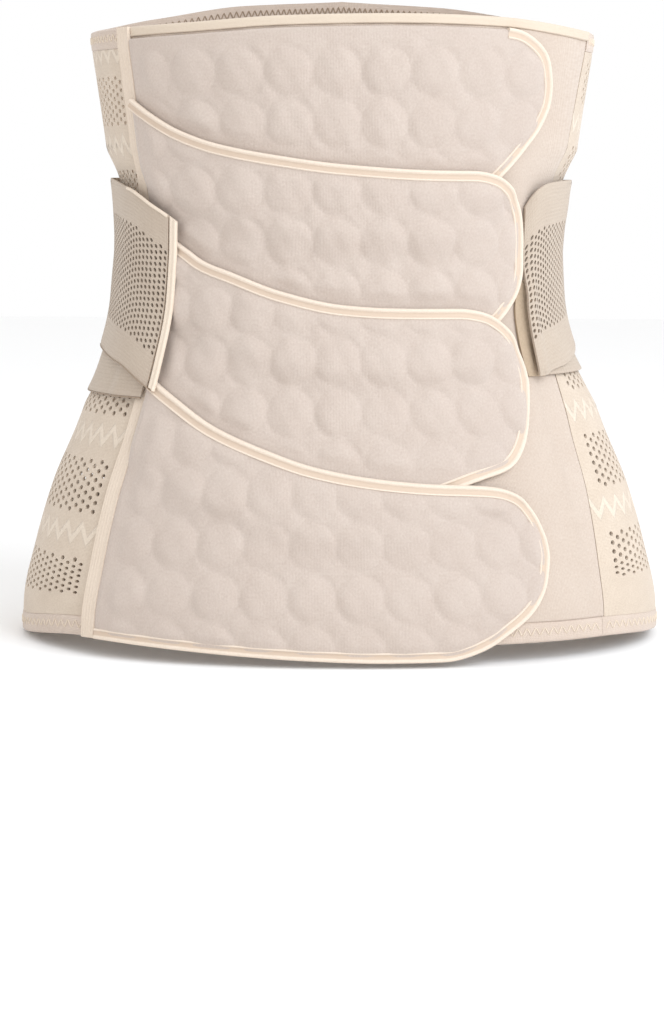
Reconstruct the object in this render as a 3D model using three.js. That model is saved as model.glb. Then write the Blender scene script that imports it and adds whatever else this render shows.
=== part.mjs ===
// Abdominal binder, worn shape: a tall elastic wrap round the trunk, closed down the front by four
// quilted flaps that lap like shingles, with a wide tension strap pulled forward round each side.
//
// Millimetres. The origin is the middle of the waist, +Z is up the trunk, the front faces -Y and
// +X is on the right of someone looking at the front. A place on the trunk is a turn in degrees
// (0 at the front, positive towards +X, 180 at the back) and a height; an offset is measured
// square to the trunk. A level of 1 is the top edge of the front, 0 the waist and -1 the bottom.
import * as THREE from "three";

// Trunk that the binder is shaped to
const ABOVE_WAIST = 110;
const BELOW_WAIST = 190;
const WAIST_HALF_WIDTH = 113;
const WAIST_FRONT = 80;
const WAIST_BACK = 75;
const RIB_HALF_WIDTH = 123.8;
const RIB_FRONT = 88;
const RIB_BACK = 86;
const HIP_HALF_WIDTH = 161;
const HIP_FRONT = 114;
const HIP_BACK = 110;
const SECTION_POWER = 2.25;

// Cloth
const PANEL_THICKNESS = 1.8;
const FLAP_THICKNESS = 2.2;
const STRAP_THICKNESS = 1.4;
const HEM_FOLD = 0.7;
const LAYER_GAP = 0.5;
const STRAP_GAP = 0.9;
const SEAM_GAP = 0.4;
const BINDING_GAP = 0.9;

// Trims
const TOP_BINDING_HEIGHT = 4.5;
const HEM_HEIGHT = 10;
const FLAP_BINDING_WIDTH = 4.8;
const FLAP_BINDING_PROUD = 0.4;
const STRAP_BINDING_WIDTH = 3.6;
const TAPE_WIDTH = 8.6;
const TAPE_THICKNESS = 1.8;
const TAPE_EDGE_SHARE = 0.65;
const STAY_WIDTH = 12;
const BACK_PANEL_WIDTH = 30;

// Quilting of the flaps
const QUILT_ALONG = 22;
const QUILT_UP = 24;
const QUILT_HEIGHT = 1.2;
const QUILT_MARGIN = 9;

// Laps between one flap and the next
const LIFT_FLAT = 8;
const LIFT_RUN = 15;

// Straps
const STRAP_HEIGHT = 83;
const BAND_HEIGHT = 40;
const LEFT_STRAP_FRONT_DEGREES = -49.6;
const LEFT_STRAP_LEAN_DEGREES = 2;
const LEFT_BAND_FRONT_DEGREES = -55;
const RIGHT_STRAP_FRONT_DEGREES = 56;
const RIGHT_BAND_FRONT_DEGREES = 60;
const STRAP_BACK_DEGREES = 162;
const STRAP_PRESS = 5.2;

// Spacing of the faces
const ROW_STEP = 15;
const COLUMN_DEGREES = 7;
const TRIM_STEP = 7.4;
const ROUND_END_COLUMNS = [0.45, 0.75, 0.92, 1];
const HALF_COLUMNS = 12;
const CLEAR_OF_LEFT_DEGREES = 2;
const CLEAR_OF_TIP_DEGREES = 4;
const CLEAR_OF_EDGE_ROWS = 0.25;
const BINDING_STEP_DEGREES = 0.2;
const LEAN_FADE_DEGREES = 12;
const SETTLE_TRIES = 20;

// How the girth grows from the waist to the ribs, and from the waist to the hips
const RIB_SWELL = [
  { way: 0, growth: 0 },
  { way: 0.2, growth: 0.09 },
  { way: 0.43, growth: 0.3 },
  { way: 0.57, growth: 0.48 },
  { way: 0.77, growth: 0.77 },
  { way: 0.91, growth: 0.965 },
  { way: 1, growth: 1 },
  { way: 1.3, growth: 1.05 },
];
const HIP_SWELL = [
  { way: 0, growth: 0 },
  { way: 0.12, growth: 0.02 },
  { way: 0.29, growth: 0.17 },
  { way: 0.45, growth: 0.39 },
  { way: 0.61, growth: 0.66 },
  { way: 0.77, growth: 0.85 },
  { way: 0.93, growth: 0.985 },
  { way: 1.05, growth: 1 },
];

// How much of STRAP_PRESS each strap presses its side of the trunk in, by level, and how that
// fades by turn towards the front and the back
const PRESS_UP = [
  { level: -0.4, left: 0, right: 0 },
  { level: -0.33, left: 0.42, right: 0.5 },
  { level: -0.25, left: 0.6, right: 1.15 },
  { level: -0.1, left: 0.7, right: 1.38 },
  { level: 0, left: 0.9, right: 1.45 },
  { level: 0.1, left: 1, right: 1.4 },
  { level: 0.2, left: 1, right: 1.2 },
  { level: 0.3, left: 0.98, right: 1.1 },
  { level: 0.46, left: 0, right: 0 },
];
const PRESS_ROUND = [
  { turn: 56, share: 0 },
  { turn: 76, share: 1 },
  { turn: 100, share: 1 },
  { turn: 135, share: 0.4 },
  { turn: 172, share: 0 },
];

// Where the elastic side panels are sewn to the front panel
const LEFT_SEAM = [
  { level: -1.02, turn: -55.2 },
  { level: -0.37, turn: -55.4 },
  { level: 0.27, turn: -62 },
  { level: 1.02, turn: -62 },
];
const RIGHT_SEAM = [
  { level: -1.02, turn: 58.2 },
  { level: -0.62, turn: 61.2 },
  { level: -0.32, turn: 64.6 },
  { level: 0.3, turn: 71 },
  { level: 1.02, turn: 75 },
];

// Top and bottom edges of the wrap, all the way round
const TOP_EDGE = [
  { turn: -180, level: 1.2 },
  { turn: -147, level: 1.173 },
  { turn: -121, level: 1.092 },
  { turn: -100, level: 1.014 },
  { turn: -80, level: 0.972 },
  { turn: -61, level: 0.966 },
  { turn: -45, level: 0.972 },
  { turn: -18, level: 0.995 },
  { turn: 25, level: 1.006 },
  { turn: 44, level: 1.002 },
  { turn: 74, level: 0.974 },
  { turn: 90, level: 0.985 },
  { turn: 120, level: 1.088 },
  { turn: 147, level: 1.168 },
  { turn: 180, level: 1.2 },
];
const LOWER_EDGE = [
  { turn: -180, level: -0.98 },
  { turn: -120, level: -1.005 },
  { turn: -88, level: -1.01 },
  { turn: -56, level: -0.968 },
  { turn: 0, level: -0.963 },
  { turn: 57, level: -0.966 },
  { turn: 88, level: -0.995 },
  { turn: 120, level: -0.995 },
  { turn: 180, level: -0.98 },
];

// The flaps, from the top one down. Each is sewn in at the left seam and rounded at its right
// end. A quilted circle's middle falls at phase, in mm from the middle of the front, and at the
// level firstRow. The binding runs round the right end between the turns boundFrom, on the
// upper edge, and boundTo, on the lower one.
const FLAPS = [
  {
    name: "flap_top", boundFrom: 46, boundTo: 27, phase: -2.5, firstRow: 0.764,
    edge: [
      { turn: -64, top: 0.965, bottom: 0.5 },
      { turn: -47, top: 0.965, bottom: 0.32 },
      { turn: -30, top: 0.965, bottom: 0.235 },
      { turn: 0, top: 0.965, bottom: 0.175 },
      { turn: 30, top: 0.965, bottom: 0.17 },
      { turn: 42, top: 0.965, bottom: 0.24 },
      { turn: 49, top: 0.95, bottom: 0.345 },
      { turn: 54.5, top: 0.9, bottom: 0.455 },
      { turn: 58, top: 0.835, bottom: 0.54 },
      { turn: 60.2, top: 0.72, bottom: 0.63 },
    ],
  },
  {
    name: "flap_upper", boundFrom: -90, boundTo: 26, phase: -2.5, firstRow: 0.264,
    edge: [
      { turn: -64, top: 0.715, bottom: -0.04 },
      { turn: -54, top: 0.586, bottom: -0.07 },
      { turn: -47, top: 0.518, bottom: -0.105 },
      { turn: -37, top: 0.46, bottom: -0.15 },
      { turn: -17, top: 0.404, bottom: -0.213 },
      { turn: 0, top: 0.375, bottom: -0.242 },
      { turn: 32, top: 0.351, bottom: -0.235 },
      { turn: 40, top: 0.351, bottom: -0.215 },
      { turn: 46, top: 0.333, bottom: -0.185 },
      { turn: 51.5, top: 0.265, bottom: -0.135 },
      { turn: 54.6, top: 0.172, bottom: -0.085 },
      { turn: 55.6, top: 0.055, bottom: -0.045 },
    ],
  },
  {
    name: "flap_lower", boundFrom: -90, boundTo: 8, phase: -1.5, firstRow: -0.268,
    edge: [
      { turn: -64, top: 0.19, bottom: -0.35 },
      { turn: -53.5, top: 0.086, bottom: -0.43 },
      { turn: -43, top: -0.018, bottom: -0.497 },
      { turn: -34, top: -0.05, bottom: -0.545 },
      { turn: -20, top: -0.094, bottom: -0.595 },
      { turn: 0, top: -0.128, bottom: -0.635 },
      { turn: 16, top: -0.136, bottom: -0.625 },
      { turn: 27, top: -0.137, bottom: -0.588 },
      { turn: 36, top: -0.137, bottom: -0.557 },
      { turn: 43, top: -0.147, bottom: -0.533 },
      { turn: 48, top: -0.176, bottom: -0.477 },
      { turn: 51.5, top: -0.225, bottom: -0.39 },
      { turn: 53.2, top: -0.29, bottom: -0.325 },
    ],
  },
  {
    name: "flap_bottom", boundFrom: -90, boundTo: -90, phase: 9, firstRow: -0.59,
    edge: [
      { turn: -64, top: -0.2, bottom: -0.968 },
      { turn: -53.5, top: -0.31, bottom: -0.968 },
      { turn: -45, top: -0.366, bottom: -0.972 },
      { turn: -34, top: -0.431, bottom: -0.979 },
      { turn: -20, top: -0.485, bottom: -0.988 },
      { turn: -7, top: -0.524, bottom: -0.995 },
      { turn: 10, top: -0.552, bottom: -1 },
      { turn: 24, top: -0.565, bottom: -0.999 },
      { turn: 32, top: -0.569, bottom: -0.975 },
      { turn: 38, top: -0.575, bottom: -0.93 },
      { turn: 43, top: -0.597, bottom: -0.88 },
      { turn: 46.3, top: -0.647, bottom: -0.815 },
      { turn: 47.8, top: -0.71, bottom: -0.75 },
    ],
  },
];

// Upper edge of each outer strap, and how tall it is there as a share of STRAP_HEIGHT
const LEFT_STRAP = [
  { turn: -166, level: 0.345, tall: 1 },
  { turn: -90, level: 0.33, tall: 1 },
  { turn: -64, level: 0.277, tall: 1.01 },
  { turn: -54, level: 0.19, tall: 1.01 },
  { turn: -48, level: 0.125, tall: 1 },
];
const RIGHT_STRAP = [
  { turn: 56, level: 0.2, tall: 0.97 },
  { turn: 58.6, level: 0.267, tall: 1.05 },
  { turn: 65, level: 0.308, tall: 1.07 },
  { turn: 90, level: 0.33, tall: 1 },
  { turn: 166, level: 0.345, tall: 1 },
];

// Level of the lower edge of the band sewn behind each strap
const LEFT_BAND_BOTTOM = -0.366;
const RIGHT_BAND_BOTTOM = -0.308;

// What each strap lies on as it comes forward
const LEFT_STRAP_RIDE = [
  { turn: -166, over: "band" },
  { turn: -73, over: "band" },
  { turn: -65.5, over: "tapedBand" },
  { turn: -63, over: "tapedBand" },
  { turn: -59.5, over: "flaps" },
  { turn: -47, over: "flaps" },
];
const LEFT_BAND_RIDE = [
  { turn: -166, over: "panel" },
  { turn: -68, over: "panel" },
  { turn: -63, over: "tape" },
  { turn: -54, over: "tape" },
];
const RIGHT_STRAP_RIDE = [
  { turn: 56, over: "panel" },
  { turn: 59, over: "band" },
  { turn: 166, over: "band" },
];
const RIGHT_BAND_RIDE = [
  { turn: 56, over: "panel" },
  { turn: 166, over: "panel" },
];

// Offsets of the layers, worked out from the cloth
const OVER_PANEL = PANEL_THICKNESS + LAYER_GAP;
const LAP_LIFT = FLAP_THICKNESS + FLAP_BINDING_PROUD + LAYER_GAP;
const BAND_LAYER = STRAP_THICKNESS + STRAP_GAP;
const RIDE_OFFSETS = {
  panel: PANEL_THICKNESS + STRAP_GAP,
  tape: OVER_PANEL + TAPE_THICKNESS + STRAP_GAP,
  band: PANEL_THICKNESS + STRAP_GAP + BAND_LAYER,
  tapedBand: OVER_PANEL + TAPE_THICKNESS + STRAP_GAP + BAND_LAYER,
  flaps: OVER_PANEL + LAP_LIFT + FLAP_THICKNESS + FLAP_BINDING_PROUD + STRAP_GAP,
};

const radians = THREE.MathUtils.degToRad;
const whole = new THREE.Group();

// Smooth reading of a table between its rows, which never overshoots them
function read(table, key, column, at) {
  const last = table.length - 1;
  const x = THREE.MathUtils.clamp(at, table[0][key], table[last][key]);
  let i = 0;
  while (i < last - 1 && x > table[i + 1][key]) i += 1;
  const step = (k) => table[k + 1][key] - table[k][key];
  const slope = (k) => (table[k + 1][column] - table[k][column]) / step(k);
  const tangent = (k) => {
    if (k === 0) return slope(0);
    if (k === last) return slope(last - 1);
    const before = slope(k - 1);
    const after = slope(k);
    if (before * after <= 0) return 0;
    const a = 2 * step(k) + step(k - 1);
    const b = step(k) + 2 * step(k - 1);
    return (a + b) / (a / before + b / after);
  };
  const t = (x - table[i][key]) / step(i);
  const rise = table[i + 1][column] - table[i][column];
  const bulge = tangent(i) * t * (1 - t) ** 2 - tangent(i + 1) * t ** 2 * (1 - t);
  return table[i][column] + rise * t * t * (3 - 2 * t) + bulge * step(i);
}

function heightOf(level) {
  return level * (level > 0 ? ABOVE_WAIST : BELOW_WAIST);
}

function levelOf(height) {
  return height / (height > 0 ? ABOVE_WAIST : BELOW_WAIST);
}

// Half width or depth of the trunk at a height
function girth(waist, rib, hip, height) {
  const way = Math.abs(levelOf(height));
  if (height > 0) return waist + (rib - waist) * read(RIB_SWELL, "way", "growth", way);
  return waist + (hip - waist) * read(HIP_SWELL, "way", "growth", way);
}

// How far the straps press the sides of the trunk in
function press(turn, height) {
  const side = wrapped(turn) < 0 ? "left" : "right";
  const round = read(PRESS_ROUND, "turn", "share", Math.abs(wrapped(turn)));
  return STRAP_PRESS * round * read(PRESS_UP, "level", side, levelOf(height));
}

// Point at an offset from the trunk, whose section is a rounded oval
function place(turn, height, offset) {
  const s = Math.sin(radians(turn));
  const c = Math.cos(radians(turn));
  const wide = girth(WAIST_HALF_WIDTH, RIB_HALF_WIDTH, HIP_HALF_WIDTH, height);
  const deep = c > 0
    ? girth(WAIST_FRONT, RIB_FRONT, HIP_FRONT, height)
    : girth(WAIST_BACK, RIB_BACK, HIP_BACK, height);
  const power = SECTION_POWER;
  const reach = (Math.abs(s / wide) ** power + Math.abs(c / deep) ** power) ** (-1 / power);
  const across = Math.sign(s) * Math.abs(s) ** (power - 1) / wide ** power;
  const forward = Math.sign(c) * Math.abs(c) ** (power - 1) / deep ** power;
  const push = (offset - press(turn, height)) / Math.hypot(across, forward);
  return new THREE.Vector3(reach * s + push * across, -reach * c - push * forward, height);
}

// Length round the trunk of one degree of turn
function perDegree(turn, height) {
  return place(turn - 0.5, height, 0).distanceTo(place(turn + 0.5, height, 0));
}

function shifted(turn, height, length) {
  return turn + length / perDegree(turn, height);
}

// Turn at a length round the trunk from the middle of the front
function turnAtLength(length, height) {
  const side = Math.sign(length);
  let turn = 0;
  let left = Math.abs(length);
  while (left > perDegree(turn + 0.5, height)) {
    left -= perDegree(turn + 0.5, height);
    turn += 1;
  }
  return side * (turn + left / perDegree(turn + 0.5, height));
}

// The same turn between -180 and 180
function wrapped(turn) {
  return turn > 180 ? turn - 360 : turn;
}

function topEdge(turn) {
  return heightOf(read(TOP_EDGE, "turn", "level", wrapped(turn)));
}

// Upper edge of the cloth under the binding of the front's top edge
function boundTop(turn) {
  return topEdge(turn) - TOP_BINDING_HEIGHT - SEAM_GAP;
}

function lowerEdge(turn) {
  return heightOf(read(LOWER_EDGE, "turn", "level", wrapped(turn)));
}

function leftSeam(height) {
  return read(LEFT_SEAM, "level", "turn", levelOf(height));
}

function rightSeam(height) {
  return read(RIGHT_SEAM, "level", "turn", levelOf(height));
}

function backSeam(height) {
  return 180 - BACK_PANEL_WIDTH / 2 / perDegree(180, height);
}

function spread(from, to, step) {
  const count = Math.max(1, Math.round(Math.abs(to - from) / step));
  return Array.from({ length: count + 1 }, (_, i) => from + (to - from) * i / count);
}

// Even steps that also stop at given places
function spreadWithStops(from, to, step, stops) {
  const inside = stops.filter((stop) => stop > from + 0.5 && stop < to - 0.5);
  const corners = [from, ...inside, to];
  return corners.slice(1).flatMap((corner, i) => spread(corners[i], corner, step).slice(0, -1))
    .concat(to);
}

function solidGeometry(positions, faces) {
  const geometry = new THREE.BufferGeometry();
  geometry.setAttribute("position", new THREE.Float32BufferAttribute(positions, 3));
  geometry.setIndex(faces);
  geometry.computeVertexNormals();
  return geometry;
}

// Closed sheet of cloth over columns of { turn, height, relief } places. The columns follow
// each other towards +X across the front and run from the low edge up. Neighbours may hold a
// different number of places. relief raises the outer face alone.
function clothSolid(columns, inner, outer) {
  const positions = [];
  const faces = [];
  const vertices = (offset, reliefShare) => columns.map((column) => column.map((spot) => {
    const out = offset(spot.turn, spot.height) + reliefShare * (spot.relief ?? 0);
    positions.push(...place(spot.turn, spot.height, out).toArray());
    return positions.length / 3 - 1;
  }));
  const front = vertices(outer, 1);
  const back = vertices(inner, 0);
  const face = (a, b, c) => faces.push(a, b, c);
  const quad = (a, b, c, d) => {
    face(a, b, c);
    face(a, c, d);
  };
  const nextHeight = (column, i) => (i < column.length - 1 ? column[i + 1].height : Infinity);
  for (let k = 0; k < columns.length - 1; k += 1) {
    let i = 0;
    let j = 0;
    while (i < columns[k].length - 1 || j < columns[k + 1].length - 1) {
      const onLeft = nextHeight(columns[k], i) <= nextHeight(columns[k + 1], j);
      const [a, b] = onLeft ? [i + 1, j] : [i, j + 1];
      const ends = [onLeft ? k : k + 1, onLeft ? a : b];
      face(front[k][i], front[k + 1][j], front[ends[0]][ends[1]]);
      face(back[k + 1][j], back[k][i], back[ends[0]][ends[1]]);
      [i, j] = [a, b];
    }
    quad(front[k].at(-1), front[k + 1].at(-1), back[k + 1].at(-1), back[k].at(-1));
    quad(front[k + 1][0], front[k][0], back[k][0], back[k + 1][0]);
  }
  const end = columns.length - 1;
  for (let i = 0; i < columns[0].length - 1; i += 1) {
    quad(front[0][i], front[0][i + 1], back[0][i + 1], back[0][i]);
  }
  for (let i = 0; i < columns[end].length - 1; i += 1) {
    quad(front[end][i + 1], front[end][i], back[end][i], back[end][i + 1]);
  }
  return solidGeometry(positions, faces);
}

// Closed ribbon through rings of points, each ring going round the section the same way
function ribbonSolid(rings) {
  const size = rings[0].length;
  const positions = rings.flat().flatMap((point) => point.toArray());
  const faces = [];
  for (let k = 0; k < rings.length - 1; k += 1) {
    for (let i = 0; i < size; i += 1) {
      const a = k * size + i;
      const b = k * size + (i + 1) % size;
      faces.push(a, a + size, b, b, a + size, b + size);
    }
  }
  const last = (rings.length - 1) * size;
  for (let i = 1; i < size - 1; i += 1) {
    faces.push(0, i, i + 1);
    faces.push(last, last + i + 1, last + i);
  }
  return solidGeometry(positions, faces);
}

const CLOTH = {
  jacquard: { color: 0xcdb9a2, roughness: 0.9 },
  loop: { color: 0xd9c8b6, roughness: 0.95 },
  quilted: { color: 0xdccbbd, roughness: 0.92 },
  binding: { color: 0xefdfcb, roughness: 0.6 },
  tape: { color: 0xe2d2bb, roughness: 0.8 },
  strap: { color: 0xcfbca4, roughness: 0.9 },
};

function add(name, cloth, geometry) {
  const material = new THREE.MeshStandardMaterial({ ...CLOTH[cloth], metalness: 0 });
  const mesh = new THREE.Mesh(geometry, material);
  mesh.name = name;
  whole.add(mesh);
}

const flat = (offset) => () => offset;

// Panel between two edges, each a function from a height to a turn
function panelColumns(leftTurn, rightTurn, low, high) {
  const count = Math.round((rightTurn(0) - leftTurn(0)) / COLUMN_DEGREES);
  return spread(0, count, 1).map((k) => {
    const turnAt = (height) => leftTurn(height) + (rightTurn(height) - leftTurn(height)) * k / count;
    const bottom = low(turnAt(-BELOW_WAIST));
    const top = high(turnAt(ABOVE_WAIST));
    return spread(bottom, top, ROW_STEP).map((height) => ({ turn: turnAt(height), height }));
  });
}

function addPanel(name, cloth, leftTurn, rightTurn, low, high) {
  const columns = panelColumns(leftTurn, rightTurn, low, high);
  add(name, cloth, clothSolid(columns, flat(0), flat(PANEL_THICKNESS)));
}

// Strip of one row along an edge of the wrap
function addStrip(name, cloth, turns, low, high, inner, outer) {
  const column = (turn) => [{ turn, height: low(turn) }, { turn, height: high(turn) }];
  add(name, cloth, clothSolid(turns.map(column), inner, outer));
}

// Upright tape about a line, thicker along its middle where the stay or the fold runs
function addTape(name, cloth, line, width, low, high, inner, thickness) {
  const thinner = (TAPE_EDGE_SHARE - 1) * thickness;
  const ribs = [
    { across: -0.5, relief: thinner },
    { across: -0.3, relief: 0 },
    { across: 0.3, relief: 0 },
    { across: 0.5, relief: thinner },
  ];
  const columns = ribs.map(({ across, relief }) => spread(low, high, ROW_STEP).map((height) => {
    return { turn: shifted(line(height), height, across * width), height, relief };
  }));
  add(name, cloth, clothSolid(columns, inner, (turn, height) => inner(turn, height) + thickness));
}

// A flap's own edges. Its left end runs down the edge of the tape over the left seam.
function flapLeft(height) {
  return shifted(leftSeam(height), height, TAPE_WIDTH / 2 + SEAM_GAP);
}

function flapEdge(flap, side) {
  return (turn) => Math.min(heightOf(read(flap.edge, "turn", side, turn)), boundTop(turn));
}

function flapStart(edge) {
  let turn = LEFT_SEAM[0].turn;
  for (let tries = 0; tries < SETTLE_TRIES; tries += 1) turn = flapLeft(edge(turn));
  return turn;
}

// Turns where the flap's cloth steps back to make room for its binding
function bindingSteps(bound) {
  return [bound - 3 * BINDING_STEP_DEGREES, bound - BINDING_STEP_DEGREES];
}

// Outline along the top, round the tip and back along the bottom. bound says where the binding
// runs, and trimmed where the cloth stops short for it.
function flapOutline(flap) {
  const tip = flap.edge.at(-1).turn;
  const path = (side, bound) => {
    const edge = flapEdge(flap, side);
    const start = flapStart(edge);
    const steps = [...bindingSteps(bound), bound + BINDING_STEP_DEGREES]
      .filter((turn) => turn > start);
    const count = Math.round((tip - start) * perDegree(0, 0) / TRIM_STEP);
    return spread(0, count, 1)
      .map((k) => start + (tip - start) * Math.sin(k / count * Math.PI / 2))
      .filter((turn) => steps.every((step) => Math.abs(turn - step) > 1))
      .concat(steps)
      .sort((a, b) => a - b)
      .map((turn) => {
        const trimmed = turn > bound - 2 * BINDING_STEP_DEGREES;
        return { turn, height: edge(turn), bound: turn > bound, trimmed };
      });
  };
  const upper = path("top", flap.boundFrom);
  const lower = path("bottom", flap.boundTo);
  return { places: [...upper, ...lower.reverse()], turning: upper.length };
}

// Places of an outline moved in by a width, square to the outline
function inset(outline, widthAt) {
  return outline.map((spot, k) => {
    const before = outline[Math.max(k - 1, 0)];
    const after = outline[Math.min(k + 1, outline.length - 1)];
    const scale = perDegree(spot.turn, spot.height);
    const along = (after.turn - before.turn) * scale;
    const up = after.height - before.height;
    const share = widthAt(spot) / Math.hypot(along, up);
    return { turn: spot.turn + share * up / scale, height: spot.height - share * along };
  });
}

// How far a flap stands off where it laps the flap above it
function lapLift(index, turn, height) {
  if (index === 0) return 0;
  const above = FLAPS[index - 1];
  const tip = above.edge.at(-1).turn;
  const below = Math.max(0, flapEdge(above, "bottom")(turn) - height);
  const aside = Math.max(0, (turn - tip) * perDegree(turn, height));
  const gone = (Math.hypot(below, aside) - LIFT_FLAT) / LIFT_RUN;
  return LAP_LIFT * THREE.MathUtils.clamp(1 - gone, 0, 1);
}

// Height of a polyline of places at a turn
function heightOn(line, turn) {
  const after = line.findIndex((spot) => spot.turn >= turn);
  if (after === -1) return line.at(-1).height;
  if (after === 0) return line[0].height;
  const [a, b] = [line[after - 1], line[after]];
  return THREE.MathUtils.mapLinear(turn, a.turn, b.turn, a.height, b.height);
}

// Height at which a polyline of places crosses the flap's left end
function crossingLeft(line) {
  let height = line[0].height;
  for (let tries = 0; tries < SETTLE_TRIES; tries += 1) height = heightOn(line, flapLeft(height));
  return height;
}

// Quilted cloth of a flap, on columns and rows that run through the middles of the circles
function flapColumns(index) {
  const flap = FLAPS[index];
  const outline = flapOutline(flap);
  const room = FLAP_BINDING_WIDTH + BINDING_GAP;
  const edges = inset(outline.places, (spot) => (spot.trimmed ? room : 0));
  const upper = edges.slice(0, outline.turning);
  const lower = edges.slice(outline.turning).reverse();
  const covered = index + 1 < FLAPS.length ? flapEdge(FLAPS[index + 1], "top") : () => -Infinity;
  const rowZero = heightOf(flap.firstRow);
  const halfUp = QUILT_UP / 2;
  const column = (turnAt, low, high, isMiddle) => {
    const rows = [];
    const first = Math.ceil((low - rowZero) / halfUp + CLEAR_OF_EDGE_ROWS);
    const last = Math.floor((high - rowZero) / halfUp - CLEAR_OF_EDGE_ROWS);
    for (let row = first; row <= last; row += 1) {
      const height = rowZero + row * halfUp;
      const floor = Math.max(low, covered(turnAt(height))) + QUILT_MARGIN;
      const shows = height > floor && height < high - QUILT_MARGIN;
      const relief = isMiddle && row % 2 === 0 && shows ? QUILT_HEIGHT : 0;
      rows.push({ turn: turnAt(height), height, relief });
    }
    return [{ turn: turnAt(low), height: low }, ...rows, { turn: turnAt(high), height: high }];
  };
  const left = column(flapLeft, crossingLeft(lower), crossingLeft(upper), false);
  const rightmostStart = Math.max(...left.map((spot) => spot.turn));
  const tip = Math.min(upper.at(-1).turn, lower.at(-1).turn);
  const middle = (heightOn(upper, 0) + heightOn(lower, 0)) / 2;
  const clearOfLeft = (turn) => turn > rightmostStart + CLEAR_OF_LEFT_DEGREES;
  const lattice = spread(-HALF_COLUMNS, HALF_COLUMNS, 1)
    .map((k) => {
      const turn = turnAtLength(flap.phase + k * QUILT_ALONG / 2, middle);
      return { turn, quilted: k % 2 === 0 };
    })
    .filter(({ turn }) => clearOfLeft(turn) && turn < tip - CLEAR_OF_TIP_DEGREES);
  const lastTurn = lattice.at(-1).turn;
  const roundEnd = ROUND_END_COLUMNS.map((share) => lastTurn + (tip - lastTurn) * share);
  const steps = [...bindingSteps(flap.boundFrom), ...bindingSteps(flap.boundTo)];
  const beside = (rightmostStart + lattice[0].turn) / 2;
  const plain = [beside, ...roundEnd, ...steps.filter(clearOfLeft)]
    .map((turn) => ({ turn, quilted: false }));
  const columns = [...lattice, ...plain].sort((a, b) => a.turn - b.turn)
    .map(({ turn, quilted }) => {
      return column(() => turn, heightOn(lower, turn), heightOn(upper, turn), quilted);
    });
  return [left, ...columns];
}

function addFlap(index) {
  const { name } = FLAPS[index];
  const base = (turn, height) => OVER_PANEL + lapLift(index, turn, height);
  const face = (turn, height) => base(turn, height) + FLAP_THICKNESS;
  add(name, "quilted", clothSolid(flapColumns(index), base, face));
}

// Folded binding sewn round a flap's edge, with a ridge near the fold
function addFlapBinding(index) {
  const outline = flapOutline(FLAPS[index]).places.filter((spot) => spot.bound);
  const section = [
    { across: 0, out: 0 },
    { across: 1, out: 0 },
    { across: 1, out: 0.92 },
    { across: 0.35, out: 1 },
    { across: 0, out: 0.75 },
  ];
  const lines = section.map(({ across }) => inset(outline, () => across * FLAP_BINDING_WIDTH));
  const thickness = FLAP_THICKNESS + FLAP_BINDING_PROUD;
  const rings = outline.map((spot, k) => section.map(({ out }, i) => {
    const { turn, height } = lines[i][k];
    const base = OVER_PANEL + lapLift(index, turn, height);
    return place(turn, height, base + out * thickness);
  }));
  add(`${FLAPS[index].name}_binding`, "binding", ribbonSolid(rings));
}

// Strap from its front edge to its back end. lean tips the front edge over its height.
function addStrap(name, front, back, low, high, ride, lean) {
  const offsets = ride.map((row) => ({ turn: row.turn, offset: RIDE_OFFSETS[row.over] }));
  const stops = ride.map((row) => row.turn);
  const [from, to] = front < 0 ? [back, front] : [front, back];
  const fade = (turn) => Math.max(0, 1 - Math.abs(turn - front) / LEAN_FADE_DEGREES);
  const columns = spreadWithStops(from, to, COLUMN_DEGREES, stops).map((turn) => {
    const [bottom, top] = [low(turn), high(turn)];
    return spread(bottom, top, ROW_STEP).map((height) => {
      const share = (height - bottom) / (top - bottom) - 0.5;
      return { turn: turn + lean * share * fade(turn), height };
    });
  });
  const inner = (turn) => read(offsets, "turn", "offset", turn);
  add(name, "strap", clothSolid(columns, inner, (turn) => inner(turn) + STRAP_THICKNESS));
}

function buildPanels() {
  const hemmedTop = (turn) => topEdge(turn) - HEM_HEIGHT - SEAM_GAP;
  const hemmedBottom = (turn) => lowerEdge(turn) + HEM_HEIGHT + SEAM_GAP;
  const half = SEAM_GAP / 2;
  addPanel("front_panel", "loop", (z) => shifted(leftSeam(z), z, half),
    (z) => shifted(rightSeam(z), z, -half), hemmedBottom, boundTop);
  addPanel("side_panel_left", "jacquard", (z) => -shifted(backSeam(z), z, -half),
    (z) => shifted(leftSeam(z), z, -half), hemmedBottom, hemmedTop);
  addPanel("side_panel_right", "jacquard", (z) => shifted(rightSeam(z), z, half),
    (z) => shifted(backSeam(z), z, -half), hemmedBottom, hemmedTop);
  addPanel("back_panel", "loop", (z) => shifted(backSeam(z), z, half),
    (z) => 360 - shifted(backSeam(z), z, half), hemmedBottom, hemmedTop);
}

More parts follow.
